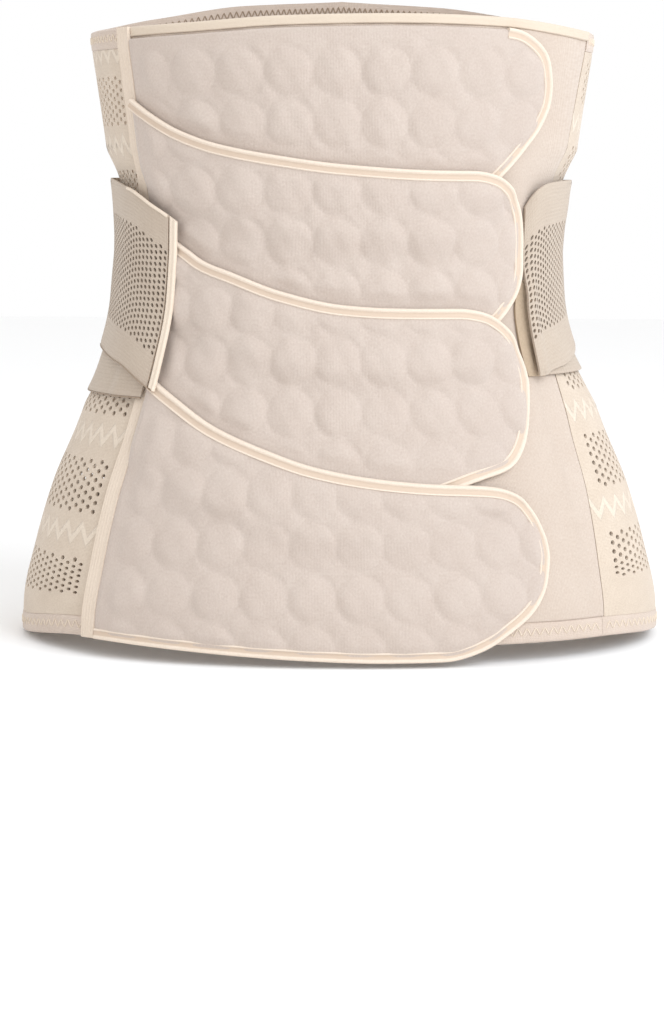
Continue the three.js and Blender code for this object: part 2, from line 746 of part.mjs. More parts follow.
function buildHems() {
  const seamLeft = leftSeam(ABOVE_WAIST);
  const seamRight = rightSeam(ABOVE_WAIST);
  const half = SEAM_GAP / 2;
  const beside = shifted(seamLeft, ABOVE_WAIST, TAPE_WIDTH / 2 + SEAM_GAP);
  const steps = bindingSteps(FLAPS[0].edge.at(-3).turn);
  const overFlap = OVER_PANEL + FLAP_THICKNESS;
  addStrip("top_binding", "binding", spreadWithStops(beside, seamRight, COLUMN_DEGREES, steps),
    (turn) => topEdge(turn) - TOP_BINDING_HEIGHT, topEdge, flat(-HEM_FOLD),
    (turn) => (turn < steps[0] + 0.1 ? overFlap : PANEL_THICKNESS));
  const [lowLeft, lowRight] = [leftSeam(-BELOW_WAIST), rightSeam(-BELOW_WAIST)];
  const around = (from, to) => spread(from, to, COLUMN_DEGREES);
  const hem = (name, turns, low, high) => {
    addStrip(name, "jacquard", turns, low, high, flat(-HEM_FOLD), flat(PANEL_THICKNESS));
  };
  const below = (turn) => topEdge(turn) - HEM_HEIGHT;
  const above = (turn) => lowerEdge(turn) + HEM_HEIGHT;
  hem("top_hem", around(shifted(seamRight, ABOVE_WAIST, SEAM_GAP),
    360 + shifted(seamLeft, ABOVE_WAIST, -half)), below, topEdge);
  hem("bottom_hem", around(shifted(lowRight, -BELOW_WAIST, half),
    360 + shifted(lowLeft, -BELOW_WAIST, -half)), lowerEdge, above);
  hem("front_hem", around(shifted(lowLeft, -BELOW_WAIST, half),
    shifted(lowRight, -BELOW_WAIST, -half)), lowerEdge, above);
}

function buildTapes() {
  addTape("front_tape", "tape", leftSeam, TAPE_WIDTH, lowerEdge(leftSeam(-BELOW_WAIST)),
    topEdge(leftSeam(ABOVE_WAIST)), flat(OVER_PANEL), TAPE_THICKNESS);
  const low = lowerEdge(180) + HEM_HEIGHT;
  const high = topEdge(180) - HEM_HEIGHT;
  addTape("back_stay_left", "tape", (height) => -backSeam(height), STAY_WIDTH, low, high,
    flat(OVER_PANEL), TAPE_THICKNESS);
  addTape("back_stay_right", "tape", backSeam, STAY_WIDTH, low, high, flat(OVER_PANEL), TAPE_THICKNESS);
}

function buildStraps() {
  const strapTop = (table) => (turn) => heightOf(read(table, "turn", "level", turn));
  const strapBottom = (table) => (turn) => {
    return strapTop(table)(turn) - STRAP_HEIGHT * read(table, "turn", "tall", turn);
  };
  const band = (level) => [() => heightOf(level), () => heightOf(level) + BAND_HEIGHT];
  const frontInset = STRAP_BINDING_WIDTH + SEAM_GAP;
  const front = shifted(LEFT_STRAP_FRONT_DEGREES, 0, -frontInset);
  addStrap("tension_strap_left", front, -STRAP_BACK_DEGREES, strapBottom(LEFT_STRAP),
    strapTop(LEFT_STRAP), LEFT_STRAP_RIDE, LEFT_STRAP_LEAN_DEGREES);
  addStrap("tension_strap_right", RIGHT_STRAP_FRONT_DEGREES, STRAP_BACK_DEGREES, strapBottom(RIGHT_STRAP),
    strapTop(RIGHT_STRAP), RIGHT_STRAP_RIDE, 0);
  addStrap("strap_band_left", LEFT_BAND_FRONT_DEGREES, -STRAP_BACK_DEGREES,
    ...band(LEFT_BAND_BOTTOM), LEFT_BAND_RIDE, 0);
  addStrap("strap_band_right", RIGHT_BAND_FRONT_DEGREES, STRAP_BACK_DEGREES,
    ...band(RIGHT_BAND_BOTTOM), RIGHT_BAND_RIDE, 0);
  const high = strapTop(LEFT_STRAP)(LEFT_STRAP_FRONT_DEGREES);
  const low = high - STRAP_HEIGHT;
  const middle = (low + high) / 2;
  const edge = (height) => {
    return LEFT_STRAP_FRONT_DEGREES + LEFT_STRAP_LEAN_DEGREES * (height - middle) / STRAP_HEIGHT;
  };
  const bindingLine = (height) => shifted(edge(height), height, -STRAP_BINDING_WIDTH / 2);
  addTape("strap_binding_left", "binding", bindingLine, STRAP_BINDING_WIDTH, low, high,
    flat(RIDE_OFFSETS.flaps), STRAP_THICKNESS);
}

buildPanels();
buildHems();
FLAPS.forEach((flap, index) => {
  addFlap(index);
  addFlapBinding(index);
});
buildTapes();
buildStraps();

export default whole;
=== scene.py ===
import math

import bpy
import numpy as np
from mathutils import Matrix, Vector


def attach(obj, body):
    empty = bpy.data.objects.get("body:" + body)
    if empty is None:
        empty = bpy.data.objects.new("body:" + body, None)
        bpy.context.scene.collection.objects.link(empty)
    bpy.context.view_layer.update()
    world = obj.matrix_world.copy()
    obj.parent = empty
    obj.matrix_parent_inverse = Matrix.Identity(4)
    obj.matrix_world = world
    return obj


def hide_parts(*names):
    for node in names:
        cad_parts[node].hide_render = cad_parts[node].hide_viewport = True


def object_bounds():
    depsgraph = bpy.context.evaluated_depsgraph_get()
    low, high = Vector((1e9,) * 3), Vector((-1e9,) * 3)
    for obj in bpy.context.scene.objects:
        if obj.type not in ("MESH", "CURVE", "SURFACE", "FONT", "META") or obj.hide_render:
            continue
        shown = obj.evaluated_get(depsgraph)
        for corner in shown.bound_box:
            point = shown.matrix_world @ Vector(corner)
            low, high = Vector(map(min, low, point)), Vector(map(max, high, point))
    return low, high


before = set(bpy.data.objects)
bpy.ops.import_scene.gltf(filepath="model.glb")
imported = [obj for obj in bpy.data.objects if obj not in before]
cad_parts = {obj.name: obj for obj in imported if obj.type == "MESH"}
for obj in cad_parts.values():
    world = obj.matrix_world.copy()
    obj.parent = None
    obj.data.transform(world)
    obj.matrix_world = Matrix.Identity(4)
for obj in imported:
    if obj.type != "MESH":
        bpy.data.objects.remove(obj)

cad_bounds = [list(corner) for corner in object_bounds()]
bpy.ops.object.select_all(action="DESELECT")

# Camera. It stands a little over a metre in front of the waist and looks slightly down, turned by
# less than half a degree as the photograph is.
CAMERA_AT, LOOKS_DOWN, ROLLED = (-0.0041, -1.18, 0.013), 7.07, 0.26
camera_data = bpy.data.cameras.new("camera")
camera_data.lens = 81.3
camera_data.sensor_width = 36
camera = bpy.data.objects.new("camera", camera_data)
bpy.context.scene.collection.objects.link(camera)
camera.matrix_world = (
    Matrix.Translation(CAMERA_AT)
    @ Matrix.Rotation(math.radians(90 - LOOKS_DOWN), 4, "X")
    @ Matrix.Rotation(math.radians(ROLLED), 4, "Z")
)
bpy.context.scene.camera = camera

# Light. A large soft light, a little cool, stands on the right and above, a weak warm one on the
# left, and the white room fills the rest, so the left flank is the darker one.
for light_name, at, turned, size, power, tint in (
    ("light_right", (1.25, -1.25, 1.0), (55, 0, 46), 1.5, 28, (0.94, 1.0, 1.07)),
    ("light_left", (-1.5, -1.0, 0.35), (78, 0, -56), 1.2, 1.5, (1.0, 0.96, 0.9)),
):
    lamp = bpy.data.lights.new(light_name, "AREA")
    lamp.energy = power
    lamp.color = tint
    lamp.size = size
    lamp_object = bpy.data.objects.new(light_name, lamp)
    lamp_object.matrix_world = Matrix.Translation(at) @ (
        Matrix.Rotation(math.radians(turned[2]), 4, "Z")
        @ Matrix.Rotation(math.radians(turned[0]), 4, "X")
    )
    bpy.context.scene.collection.objects.link(lamp_object)
world = bpy.data.worlds.new("white_room")
world.use_nodes = True
world.node_tree.nodes["Background"].inputs["Color"].default_value = (1, 1, 1, 1)
world.node_tree.nodes["Background"].inputs["Strength"].default_value = 1.0
bpy.context.scene.world = world
bpy.context.scene.view_settings.view_transform = "Standard"

# Floor. A white studio sheet lies flat under the binder, which stands on its lower hem. The small
# gap keeps the two from touching.
FLOOR_SIZE, FLOOR_GAP = 8, 0.0008
bpy.ops.mesh.primitive_plane_add(size=FLOOR_SIZE, location=(0, 0, cad_bounds[0][2] - FLOOR_GAP))
floor = bpy.context.object
floor.name = "floor"
floor_paper = bpy.data.materials.new("floor_paper")
floor_paper.use_nodes = True
floor_shader = floor_paper.node_tree.nodes["Principled BSDF"]
floor_shader.inputs["Base Color"].default_value = (0.95, 0.95, 0.95, 1)
floor_shader.inputs["Roughness"].default_value = 0.9
floor.data.materials.append(floor_paper)

# Front panel. Brushed loop cloth, cut as one piece under the four flaps, which close on it with
# hooks. Only its right side and a strip under the lowest flap show.
# Lengths are in millimetres until a mesh is made. A place on the trunk is a turn in degrees from
# the middle of the front, positive to the right, and a height over the waist.
ABOVE_WAIST, BELOW_WAIST = 110, 190
WAIST = {"half": 113, "front": 80, "back": 75}
RIBS = {"half": 123.8, "front": 88, "back": 86}
HIPS = {"half": 161, "front": 114, "back": 110}
SECTION_POWER = 2.25
PANEL_THICKNESS, FLAP_THICKNESS, LAYER_GAP = 1.8, 2.2, 0.5
OVER_PANEL = PANEL_THICKNESS + LAYER_GAP


def smooth_curve(rows):
    """Function that reads a smooth curve through (at, value) rows and never overshoots them."""
    at, value = np.array(rows, float).T
    step = np.diff(at)
    slope = np.diff(value) / step
    before, after = slope[:-1], slope[1:]
    same_way = before * after > 0
    a, b = 2 * step[1:] + step[:-1], step[1:] + 2 * step[:-1]
    safe_before, safe_after = np.where(same_way, before, 1), np.where(same_way, after, 1)
    inner = np.where(same_way, (a + b) / (a / safe_before + b / safe_after), 0)
    tangent = np.concatenate([slope[:1], inner, slope[-1:]])

    def reading(x):
        x = np.clip(x, at[0], at[-1])
        i = np.clip(np.searchsorted(at, x, side="right") - 1, 0, len(at) - 2)
        t = (x - at[i]) / step[i]
        bulge = tangent[i] * t * (1 - t) ** 2 - tangent[i + 1] * t * t * (1 - t)
        return value[i] + (value[i + 1] - value[i]) * t * t * (3 - 2 * t) + bulge * step[i]

    return reading


rib_swell = smooth_curve([(0, 0), (0.2, 0.09), (0.43, 0.3), (0.57, 0.48), (0.77, 0.77),
                          (0.91, 0.965), (1, 1), (1.3, 1.05)])
hip_swell = smooth_curve([(0, 0), (0.12, 0.02), (0.29, 0.17), (0.45, 0.39), (0.61, 0.66),
                          (0.77, 0.85), (0.93, 0.985), (1.05, 1)])
left_seam_levels = smooth_curve([(-1.02, -55.2), (-0.37, -55.4), (0.27, -62), (1.02, -62)])
right_seam_levels = smooth_curve([(-1.02, 58.2), (-0.62, 61.2), (-0.32, 64.6), (0.3, 71),
                                  (1.02, 75)])
top_edge_levels = smooth_curve([(-180, 1.2), (-147, 1.173), (-121, 1.092), (-100, 1.014),
                                (-80, 0.972), (-61, 0.966), (-45, 0.972), (-18, 0.995), (25, 1.006),
                                (44, 1.002), (74, 0.974), (90, 0.985), (120, 1.088), (147, 1.168),
                                (180, 1.2)])
lower_edge_levels = smooth_curve([(-180, -0.98), (-120, -1.005), (-88, -1.01), (-56, -0.968),
                                  (0, -0.963), (57, -0.966), (88, -0.995), (120, -0.995),
                                  (180, -0.98)])

# How much of STRAP_PRESS each strap presses its side in, by level, left and right, and by turn
STRAP_PRESS = 5.2
PRESS_ROWS = [(-0.4, 0, 0), (-0.33, 0.42, 0.5), (-0.25, 0.6, 1.15), (-0.1, 0.7, 1.38),
              (0, 0.9, 1.45), (0.1, 1, 1.4), (0.2, 1, 1.2), (0.3, 0.98, 1.1), (0.46, 0, 0)]
press_left = smooth_curve([(level, left) for level, left, _ in PRESS_ROWS])
press_right = smooth_curve([(level, right) for level, _, right in PRESS_ROWS])
press_round = smooth_curve([(56, 0), (76, 1), (100, 1), (135, 0.4), (172, 0)])


def height_of(level):
    return level * np.where(level > 0, ABOVE_WAIST, BELOW_WAIST)


def level_of(height):
    return height / np.where(height > 0, ABOVE_WAIST, BELOW_WAIST)


def on_trunk(turn, height, offset):
    """Points in mm at an offset from the trunk, square to it."""
    given = (np.asarray(x, float) for x in (turn, height, offset))
    turn, height, offset = np.broadcast_arrays(*given)
    s, c = np.sin(np.radians(turn)), np.cos(np.radians(turn))
    way = np.abs(level_of(height))

    def girth(part):
        ribs = (RIBS[part] - WAIST[part]) * rib_swell(way)
        hips = (HIPS[part] - WAIST[part]) * hip_swell(way)
        return WAIST[part] + np.where(height > 0, ribs, hips)

    wide, deep = girth("half"), np.where(c > 0, girth("front"), girth("back"))
    p = SECTION_POWER
    reach = (np.abs(s / wide) ** p + np.abs(c / deep) ** p) ** (-1 / p)
    across = np.sign(s) * np.abs(s) ** (p - 1) / wide**p
    forward = np.sign(c) * np.abs(c) ** (p - 1) / deep**p
    level = level_of(height)
    press_up = np.where(wrapped(turn) < 0, press_left(level), press_right(level))
    pressed = STRAP_PRESS * press_up * press_round(np.abs(wrapped(turn)))
    push = (offset - pressed) / np.hypot(across, forward)
    return np.stack([reach * s + push * across, -reach * c - push * forward, height], -1)


def per_degree(turn, height):
    """Length round the trunk of one degree of turn."""
    turn = np.asarray(turn, float)
    across = on_trunk(turn + 0.5, height, 0) - on_trunk(turn - 0.5, height, 0)
    return np.linalg.norm(across, axis=-1)


def shifted(turn, height, length):
    return turn + length / per_degree(turn, height)


def wrapped(turn):
    return (np.asarray(turn, float) + 180) % 360 - 180


def smooth_step(low, high, x):
    t = np.clip((x - low) / (high - low), 0, 1)
    return t * t * (3 - 2 * t)


def top_edge(turn):
    return height_of(top_edge_levels(wrapped(turn)))


def lower_edge(turn):
    return height_of(lower_edge_levels(wrapped(turn)))


def left_seam(height):
    return left_seam_levels(level_of(height))


def right_seam(height):
    return right_seam_levels(level_of(height))


def back_seam(height):
    return 180 - 15 / per_degree(180, height)


def new_piece(name, points, faces, flat):
    """New object from points in mm. flat is each point's position on the flat cloth in mm, which
    becomes the UV map in metres."""
    mesh = bpy.data.meshes.new(name)
    mesh.from_pydata((points / 1000).tolist(), [], faces)
    corners = np.empty(len(mesh.loops), dtype=np.int64)
    mesh.loops.foreach_get("vertex_index", corners)
    mesh.uv_layers.new(name="UVMap").data.foreach_set("uv", (flat / 1000)[corners].ravel())
    piece = bpy.data.objects.new(name, mesh)
    bpy.context.scene.collection.objects.link(piece)
    return piece


def cloth(name, turn, height, faces, outer, inner, flat_u, flat_v):
    """Closed cloth over places on the trunk, in a new object. faces are loops of places, each
    going round to the left as seen from outside."""
    points = np.concatenate([on_trunk(turn, height, outer), on_trunk(turn, height, inner)])
    count = len(np.ravel(turn))
    edges = {}
    for face in faces:
        for a, b in zip(face, (*face[1:], face[0])):
            edges[(a, b)] = True
    rims = [(b, a, a + count, b + count) for a, b in edges if (b, a) not in edges]
    inside = [tuple(i + count for i in reversed(face)) for face in faces]
    flat = np.tile(np.stack([np.ravel(flat_u), np.ravel(flat_v)], -1), (2, 1))
    return new_piece(name, points, [*faces, *inside, *rims], flat)


def grid_faces(columns, rows):
    """Faces between places numbered up each column, column after column."""
    return [(k * rows + j, (k + 1) * rows + j, (k + 1) * rows + j + 1, k * rows + j + 1)
            for k in range(columns - 1) for j in range(rows - 1)]


def with_soft_ends(count, length, roll=1.1):
    """Shares from 0 to 1 in even steps, with closer ones at both ends for a rolled edge."""
    near = np.array([0.25, 0.6, 1.0]) * roll / length
    return np.concatenate([[0], near, np.linspace(near[-1], 1 - near[-1], count)[1:-1],
                           1 - near[::-1], [1]])


def rolled(share, length, roll=1.1):
    """How full a cloth's thickness is at a share of its width: less at the two edges."""
    from_edge = np.clip(np.minimum(share, 1 - share) * length / roll, 0, 1)
    return 0.45 + 0.55 * np.sqrt(1 - (1 - from_edge) ** 2)


def panel(name, left, right, low, high, columns, rows, ripple=0.0):
    """Plain panel between two edges given as functions of height, from a low to a high edge."""
    usual_width, usual_height = 200, 280
    k, j = with_soft_ends(columns, usual_width), with_soft_ends(rows, usual_height)
    left_turns = left(np.array([-BELOW_WAIST, ABOVE_WAIST], float))
    right_turns = right(np.array([-BELOW_WAIST, ABOVE_WAIST], float))
    bottom = low(left_turns[0] + (right_turns[0] - left_turns[0]) * k)
    top = high(left_turns[1] + (right_turns[1] - left_turns[1]) * k)
    height = bottom[:, None] + (top - bottom)[:, None] * j
    turn = left(height) + (right(height) - left(height)) * k[:, None]
    full = rolled(k, usual_width)[:, None] * rolled(j, usual_height)
    wave = ripple * np.sin(turn * 0.31 + height * 0.045) * np.sin(turn * 0.17 - height * 0.03 + 1.3)
    outer = PANEL_THICKNESS * full + wave
    flat_u = turn * per_degree(turn, 0)
    return cloth(name, turn.ravel(), height.ravel(), grid_faces(len(k), len(j)),
                 outer.ravel(), wave.ravel(), flat_u, height)


def select_alone(piece):
    bpy.ops.object.select_all(action="DESELECT")
    piece.select_set(True)
    bpy.context.view_layer.objects.active = piece


def put(tree, kind, inputs=(), **settings):
    """New shader node, its inputs filled with values or joined to other nodes' outputs."""
    made = tree.nodes.new(kind)
    for key, value in settings.items():
        setattr(made, key, value)
    for socket, value in inputs:
        if isinstance(value, bpy.types.NodeSocket):
            tree.links.new(value, made.inputs[socket])
        else:
            made.inputs[socket].default_value = value
    return made


def calc(tree, operation, *values):
    """Output of a math node."""
    return put(tree, "ShaderNodeMath", list(enumerate(values)), operation=operation).outputs[0]


def new_group(name, inputs, outputs):
    """Shader node group with float sockets, but for Flat, which is a vector."""
    tree = bpy.data.node_groups.new(name, "ShaderNodeTree")
    for socket, value in inputs:
        kind = "NodeSocketVector" if socket == "Flat" else "NodeSocketFloat"
        made = tree.interface.new_socket(socket, in_out="INPUT", socket_type=kind)
        if value is not None:
            made.default_value = value
    for socket in outputs:
        tree.interface.new_socket(socket, in_out="OUTPUT", socket_type="NodeSocketFloat")
    entry, way_out = tree.nodes.new("NodeGroupInput"), tree.nodes.new("NodeGroupOutput")
    return tree, entry.outputs, way_out.inputs


# Knitted or woven ground: fine wales and courses, loose fibres, and slow changes of shade.
grain, given, result = new_group(
    "cloth_grain", [("Flat", None), ("Wale", 0.0009), ("Fibre", 0.5), ("Patches", 0.5)],
    ["Shade", "Height"])
flat_parts = put(grain, "ShaderNodeSeparateXYZ", [(0, given["Flat"])]).outputs
wale_turn = calc(grain, "DIVIDE", calc(grain, "MULTIPLY", flat_parts[0], math.tau), given["Wale"])
course_turn = calc(grain, "DIVIDE", calc(grain, "MULTIPLY", flat_parts[1], math.tau * 1.35),
                   given["Wale"])
wales = calc(grain, "MULTIPLY_ADD", calc(grain, "SINE", wale_turn), 0.5, 0.5)
courses = calc(grain, "MULTIPLY_ADD", calc(grain, "SINE", course_turn), 0.5, 0.5)
fibres, patches = (
    put(grain, "ShaderNodeTexNoise", [("Vector", given["Flat"]), ("Scale", scale),
                                      ("Detail", detail), ("Roughness", rough)]).outputs[0]
    for scale, detail, rough in ((900, 3, 0.65), (55, 4, 0.6)))
knit = calc(grain, "MULTIPLY", wales, courses)
fibre_part = calc(grain, "MULTIPLY", calc(grain, "SUBTRACT", fibres, 0.5), given["Fibre"])
patch_part = calc(grain, "MULTIPLY", calc(grain, "SUBTRACT", patches, 0.5), given["Patches"])
knit_part = calc(grain, "MULTIPLY", calc(grain, "SUBTRACT", knit, 0.25), 0.35)
shade_sum = calc(grain, "ADD", calc(grain, "ADD", fibre_part, patch_part), knit_part)
grain.links.new(calc(grain, "ADD", shade_sum, 0.5), result["Shade"])
knit_height = calc(grain, "MULTIPLY", knit, 0.6)
grain.links.new(calc(grain, "ADD", knit_height, fibre_part), result["Height"])


def colour(code):
    """Linear colour from a six-figure sRGB code. None of them is dark."""
    parts = [int(code[i:i + 2], 16) / 255 for i in (0, 2, 4)]
    return (*(((p + 0.055) / 1.055) ** 2.4 for p in parts), 1)


def fabric(name, dark, light, wale, fibre, patches, roughness, bump, sheen, marks=None):
    """Cloth material. marks adds to the shade and to the height from the flat position."""
    material = bpy.data.materials.new(name)
    material.use_nodes = True
    tree = material.node_tree
    shader = tree.nodes["Principled BSDF"]
    flat = put(tree, "ShaderNodeUVMap", uv_map="UVMap").outputs[0]
    ground = put(tree, "ShaderNodeGroup", node_tree=grain)
    tree.links.new(flat, ground.inputs["Flat"])
    for socket, value in (("Wale", wale), ("Fibre", fibre), ("Patches", patches)):
        ground.inputs[socket].default_value = value
    shade, height = ground.outputs["Shade"], ground.outputs["Height"]
    if marks:
        shade, height = marks(tree, flat, shade, height)
    tones = put(tree, "ShaderNodeMix", [(0, shade), (6, colour(dark)), (7, colour(light))],
                data_type="RGBA")
    relief = put(tree, "ShaderNodeBump", [("Strength", 0.7), ("Distance", bump), ("Height", height)])
    tree.links.new(tones.outputs[2], shader.inputs["Base Color"])
    tree.links.new(relief.outputs[0], shader.inputs["Normal"])
    shader.inputs["Roughness"].default_value = roughness
    shader.inputs["Specular IOR Level"].default_value = 0.25
    shader.inputs["Sheen Weight"].default_value = sheen
    shader.inputs["Sheen Roughness"].default_value = 0.5
    return material


def finish_piece(piece, material, nodes=(), angle=38):
    """Shades a piece smooth, except over sharp edges, and says what it is of and what it replaces."""
    select_alone(piece)
    bpy.ops.object.shade_smooth_by_angle(angle=math.radians(angle))
    piece.data.materials.append(material)
    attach(piece, "root")
    if nodes:
        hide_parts(*nodes)


loop_cloth = fabric("loop_cloth", "b6a393", "d0c3b7", 0.0008, 0.9, 0.35, 0.95, 0.00025, 0.3)
HEM_HEIGHT, TOP_BINDING_HEIGHT, SEAM = 10, 4.5, 0.08
UNDER_EDGE = 0.3


def over_hem(turn):
    """Lower end of a panel, a little under the hem's upper edge."""
    return lower_edge(turn) + HEM_HEIGHT - UNDER_EDGE


front_panel = panel(
    "front_cloth",
    lambda z: shifted(left_seam(z), z, SEAM), lambda z: shifted(right_seam(z), z, -SEAM),
    over_hem, lambda t: top_edge(t) - TOP_BINDING_HEIGHT + UNDER_EDGE,
    columns=110, rows=90, ripple=0.25)
finish_piece(front_panel, loop_cloth, ["front_panel"])

# Side panels. Stretch jacquard knitted with bands of open mesh and, between them, plain bands
# with a raised zigzag in a paler yarn. Sewn to the front panel and to the back panel.
CELL_UP, ROWS_IN_REPEAT, MESH_ROWS = 4.25, 11, 6
CELL_WIDTH, HOLE = 4.6, (1.45, 1.2)
PANEL_ROWS, PANEL_HEAD, MESH_FOOT = 68, 100.0, 61.5
LOWEST_MESH_ROW, LOWEST_ZIGZAG = -5 * ROWS_IN_REPEAT, -168
PANEL_CLOTH = {"outer": 1.5, "inner": 0.2}
PANEL_FOOT = PANEL_HEAD - CELL_UP * PANEL_ROWS


def lattice(columns, rows, is_open, hole_share):
    """Cells of a staggered mesh cloth, as places (column, row) and faces. Every second column
    is half a cell lower. An open cell has an eight-sided hole with rounded corners."""
    places, numbers, faces = [], {}, []

    def number(x, y):
        key = (round(x * 1000), round(y * 1000))
        if key not in numbers:
            numbers[key] = len(places)
            places.append((x, y))
        return numbers[key]

    ring = [(math.cos(math.tau * i / 8), math.sin(math.tau * i / 8)) for i in range(8)]
    border = [(1, 0.5), (1, 1), (0.5, 1), (0, 1), (0, 0.5), (0, 0), (0.5, 0), (1, 0)]
    for k in range(columns):
        stops = list(range(rows + 1)) if k % 2 == 0 else [0, *(r + 0.5 for r in range(rows)), rows]
        for low, high in zip(stops, stops[1:]):
            if high - low < 1:
                middle = [] if low > 0 else [(k + 0.5, high)]
                foot = [] if low == 0 else [(k + 0.5, low)]
                around = [(k, low), *foot, (k + 1, low), (k + 1, high), *middle, (k, high)]
                faces.append(tuple(number(*spot) for spot in around))
                continue
            edge = [number(k + x, low + y) for x, y in border]
            if not is_open(k, low):
                faces.append(tuple(edge))
                continue
            hole = [number(k + 0.5 + x * hole_share[0], low + 0.5 + y * hole_share[1])
                    for x, y in ring]
            for i in range(8):
                n = (i + 1) % 8
                faces.append((hole[i], edge[i], edge[n], hole[n]))
    return np.array(places), faces


zigzag, given, result = new_group(
    "zigzag_rows", [("Flat", None), ("Repeat", CELL_UP * ROWS_IN_REPEAT / 1000), ("Middle", 0.0044),
                    ("Pitch", 0.0112), ("Swing", 0.0074), ("Half", 0.0022)], ["Mask"])
flat_parts = put(zigzag, "ShaderNodeSeparateXYZ", [(0, given["Flat"])]).outputs
along = calc(zigzag, "FRACT", calc(zigzag, "DIVIDE", flat_parts[0], given["Pitch"]))
peaks = calc(zigzag, "SUBTRACT",
             calc(zigzag, "ABSOLUTE", calc(zigzag, "SUBTRACT", along, 0.5)), 0.25)
swing = calc(zigzag, "MULTIPLY", calc(zigzag, "MULTIPLY", peaks, 2), given["Swing"])
rows_up = calc(zigzag, "DIVIDE", calc(zigzag, "SUBTRACT", flat_parts[1], given["Middle"]),
               given["Repeat"])
within = calc(zigzag, "SUBTRACT", calc(zigzag, "FRACT", calc(zigzag, "ADD", rows_up, 0.5)), 0.5)
away = calc(zigzag, "ABSOLUTE",
            calc(zigzag, "SUBTRACT", calc(zigzag, "MULTIPLY", within, given["Repeat"]), swing))
line = calc(zigzag, "SUBTRACT", 1, calc(zigzag, "DIVIDE", away, given["Half"]))
soft_line = put(zigzag, "ShaderNodeMapRange", [(0, line), (1, -0.35), (2, 0.25), (3, 0.0), (4, 1.0)],
                interpolation_type="SMOOTHSTEP")
zigzag.links.new(soft_line.outputs[0], result["Mask"])


def zigzag_marks(tree, flat, shade, height):
    """Paler, raised zigzags between the bands of mesh, but none below the lowest band."""
    rows = put(tree, "ShaderNodeGroup", node_tree=zigzag)
    tree.links.new(flat, rows.inputs["Flat"])
    up = put(tree, "ShaderNodeSeparateXYZ", [(0, flat)]).outputs[1]
    in_reach = calc(tree, "GREATER_THAN", up, LOWEST_ZIGZAG / 1000)
    mask = calc(tree, "MULTIPLY", rows.outputs["Mask"], in_reach)
    return (calc(tree, "ADD", shade, calc(tree, "MULTIPLY", mask, 0.3)),
            calc(tree, "ADD", height, calc(tree, "MULTIPLY", mask, 2.2)))


jacquard = fabric("jacquard", "b4a18e", "e0d2c1", 0.0009, 0.7, 0.4, 0.85, 0.0003, 0.2, zigzag_marks)


def under_hem(turn):
    """Upper end of a panel behind the front, a little under the top hem's lower edge."""
    return top_edge(turn) - HEM_HEIGHT + UNDER_EDGE


def side_panel(name, left, right, columns, plain_columns, rows_up):
    """Mesh panel whose columns keep their share of the way between its two seams, so the cloth
    and its holes stretch where the trunk is wide. rows_up is how much higher its pattern is cut."""

    def is_open(k, low):
        row = math.floor((PANEL_FOOT + CELL_UP * (low + 0.5) - MESH_FOOT) / CELL_UP) - rows_up
        return (plain_columns[0] <= k < columns - plain_columns[1]
                and row >= LOWEST_MESH_ROW and row % ROWS_IN_REPEAT < MESH_ROWS
                and low < PANEL_ROWS - 1)

    def turn_at(height):
        height = np.array(height)
        return left(height) + (right(height) - left(height)) * share

    places, faces = lattice(columns, PANEL_ROWS, is_open, (HOLE[0] / CELL_WIDTH, HOLE[1] / CELL_UP))
    share = places[:, 0] / columns
    nominal = PANEL_FOOT + CELL_UP * places[:, 1]
    foot_height, head_height = -170.0, float(ABOVE_WAIST)
    bottom, top = over_hem(turn_at(foot_height)), under_hem(turn_at(head_height))
    eased = {"above": 60, "below": -150}
    stretch_up = (top - eased["above"]) / (PANEL_HEAD - eased["above"])
    stretch_down = (bottom - eased["below"]) / (PANEL_FOOT - eased["below"])
    height = eased["above"] + (nominal - eased["above"]) * stretch_up
    height = np.where(nominal > eased["above"], height, nominal)
    low_height = eased["below"] + (nominal - eased["below"]) * stretch_down
    height = np.where(nominal < eased["below"], low_height, height)
    outer, inner = (np.full(len(nominal), PANEL_CLOTH[side]) for side in ("outer", "inner"))
    return cloth(name, turn_at(height), height, faces, outer, inner,
                 places[:, 0] * CELL_WIDTH, nominal - CELL_UP * rows_up)


left_panel = side_panel(
    "left_mesh_cloth",
    lambda z: -shifted(back_seam(z), z, -SEAM), lambda z: shifted(left_seam(z), z, -SEAM),
    columns=62, plain_columns=(2, 2), rows_up=0)
right_panel = side_panel(
    "right_mesh_cloth",
    lambda z: shifted(right_seam(z), z, SEAM), lambda z: shifted(back_seam(z), z, -SEAM),
    columns=56, plain_columns=(2, 2), rows_up=3)
finish_piece(left_panel, jacquard, ["side_panel_left"], 50)
finish_piece(right_panel, jacquard, ["side_panel_right"], 50)

# Back panel. A narrow strip of plain cloth down the middle of the back, with a boned tape sewn
# over each of its seams.
back_panel = panel(
    "back_cloth",
    lambda z: shifted(back_seam(z), z, SEAM), lambda z: 360 - shifted(back_seam(z), z, SEAM),
    over_hem, under_hem, columns=14, rows=70)
finish_piece(back_panel, loop_cloth, ["back_panel"])

# Hems. The knit is turned over along the top of the back and round the bottom, and held by a
# zigzag of thread. The front's top edge has a narrow folded binding of its own.
HEM_FOLD = 0.7
hem_knit = fabric("hem_knit", "b6a394", "d6c7ba", 0.0011, 0.8, 0.5, 0.9, 0.0003, 0.25)
thread_cotton = fabric("thread_cotton", "cfbda9", "e6d9c8", 0.0004, 0.6, 0.3, 0.7, 0.0001, 0.15)
# Brown thread for the inside of the hems, also used for the thin brown strands under the left strap and
# band that are painted shadow.
brown_thread_and_painted_shadow = fabric("brown_thread_and_painted_shadow", "8b7766", "a8947f", 0.0004, 0.6, 0.3, 0.7, 0.0001, 0.15)


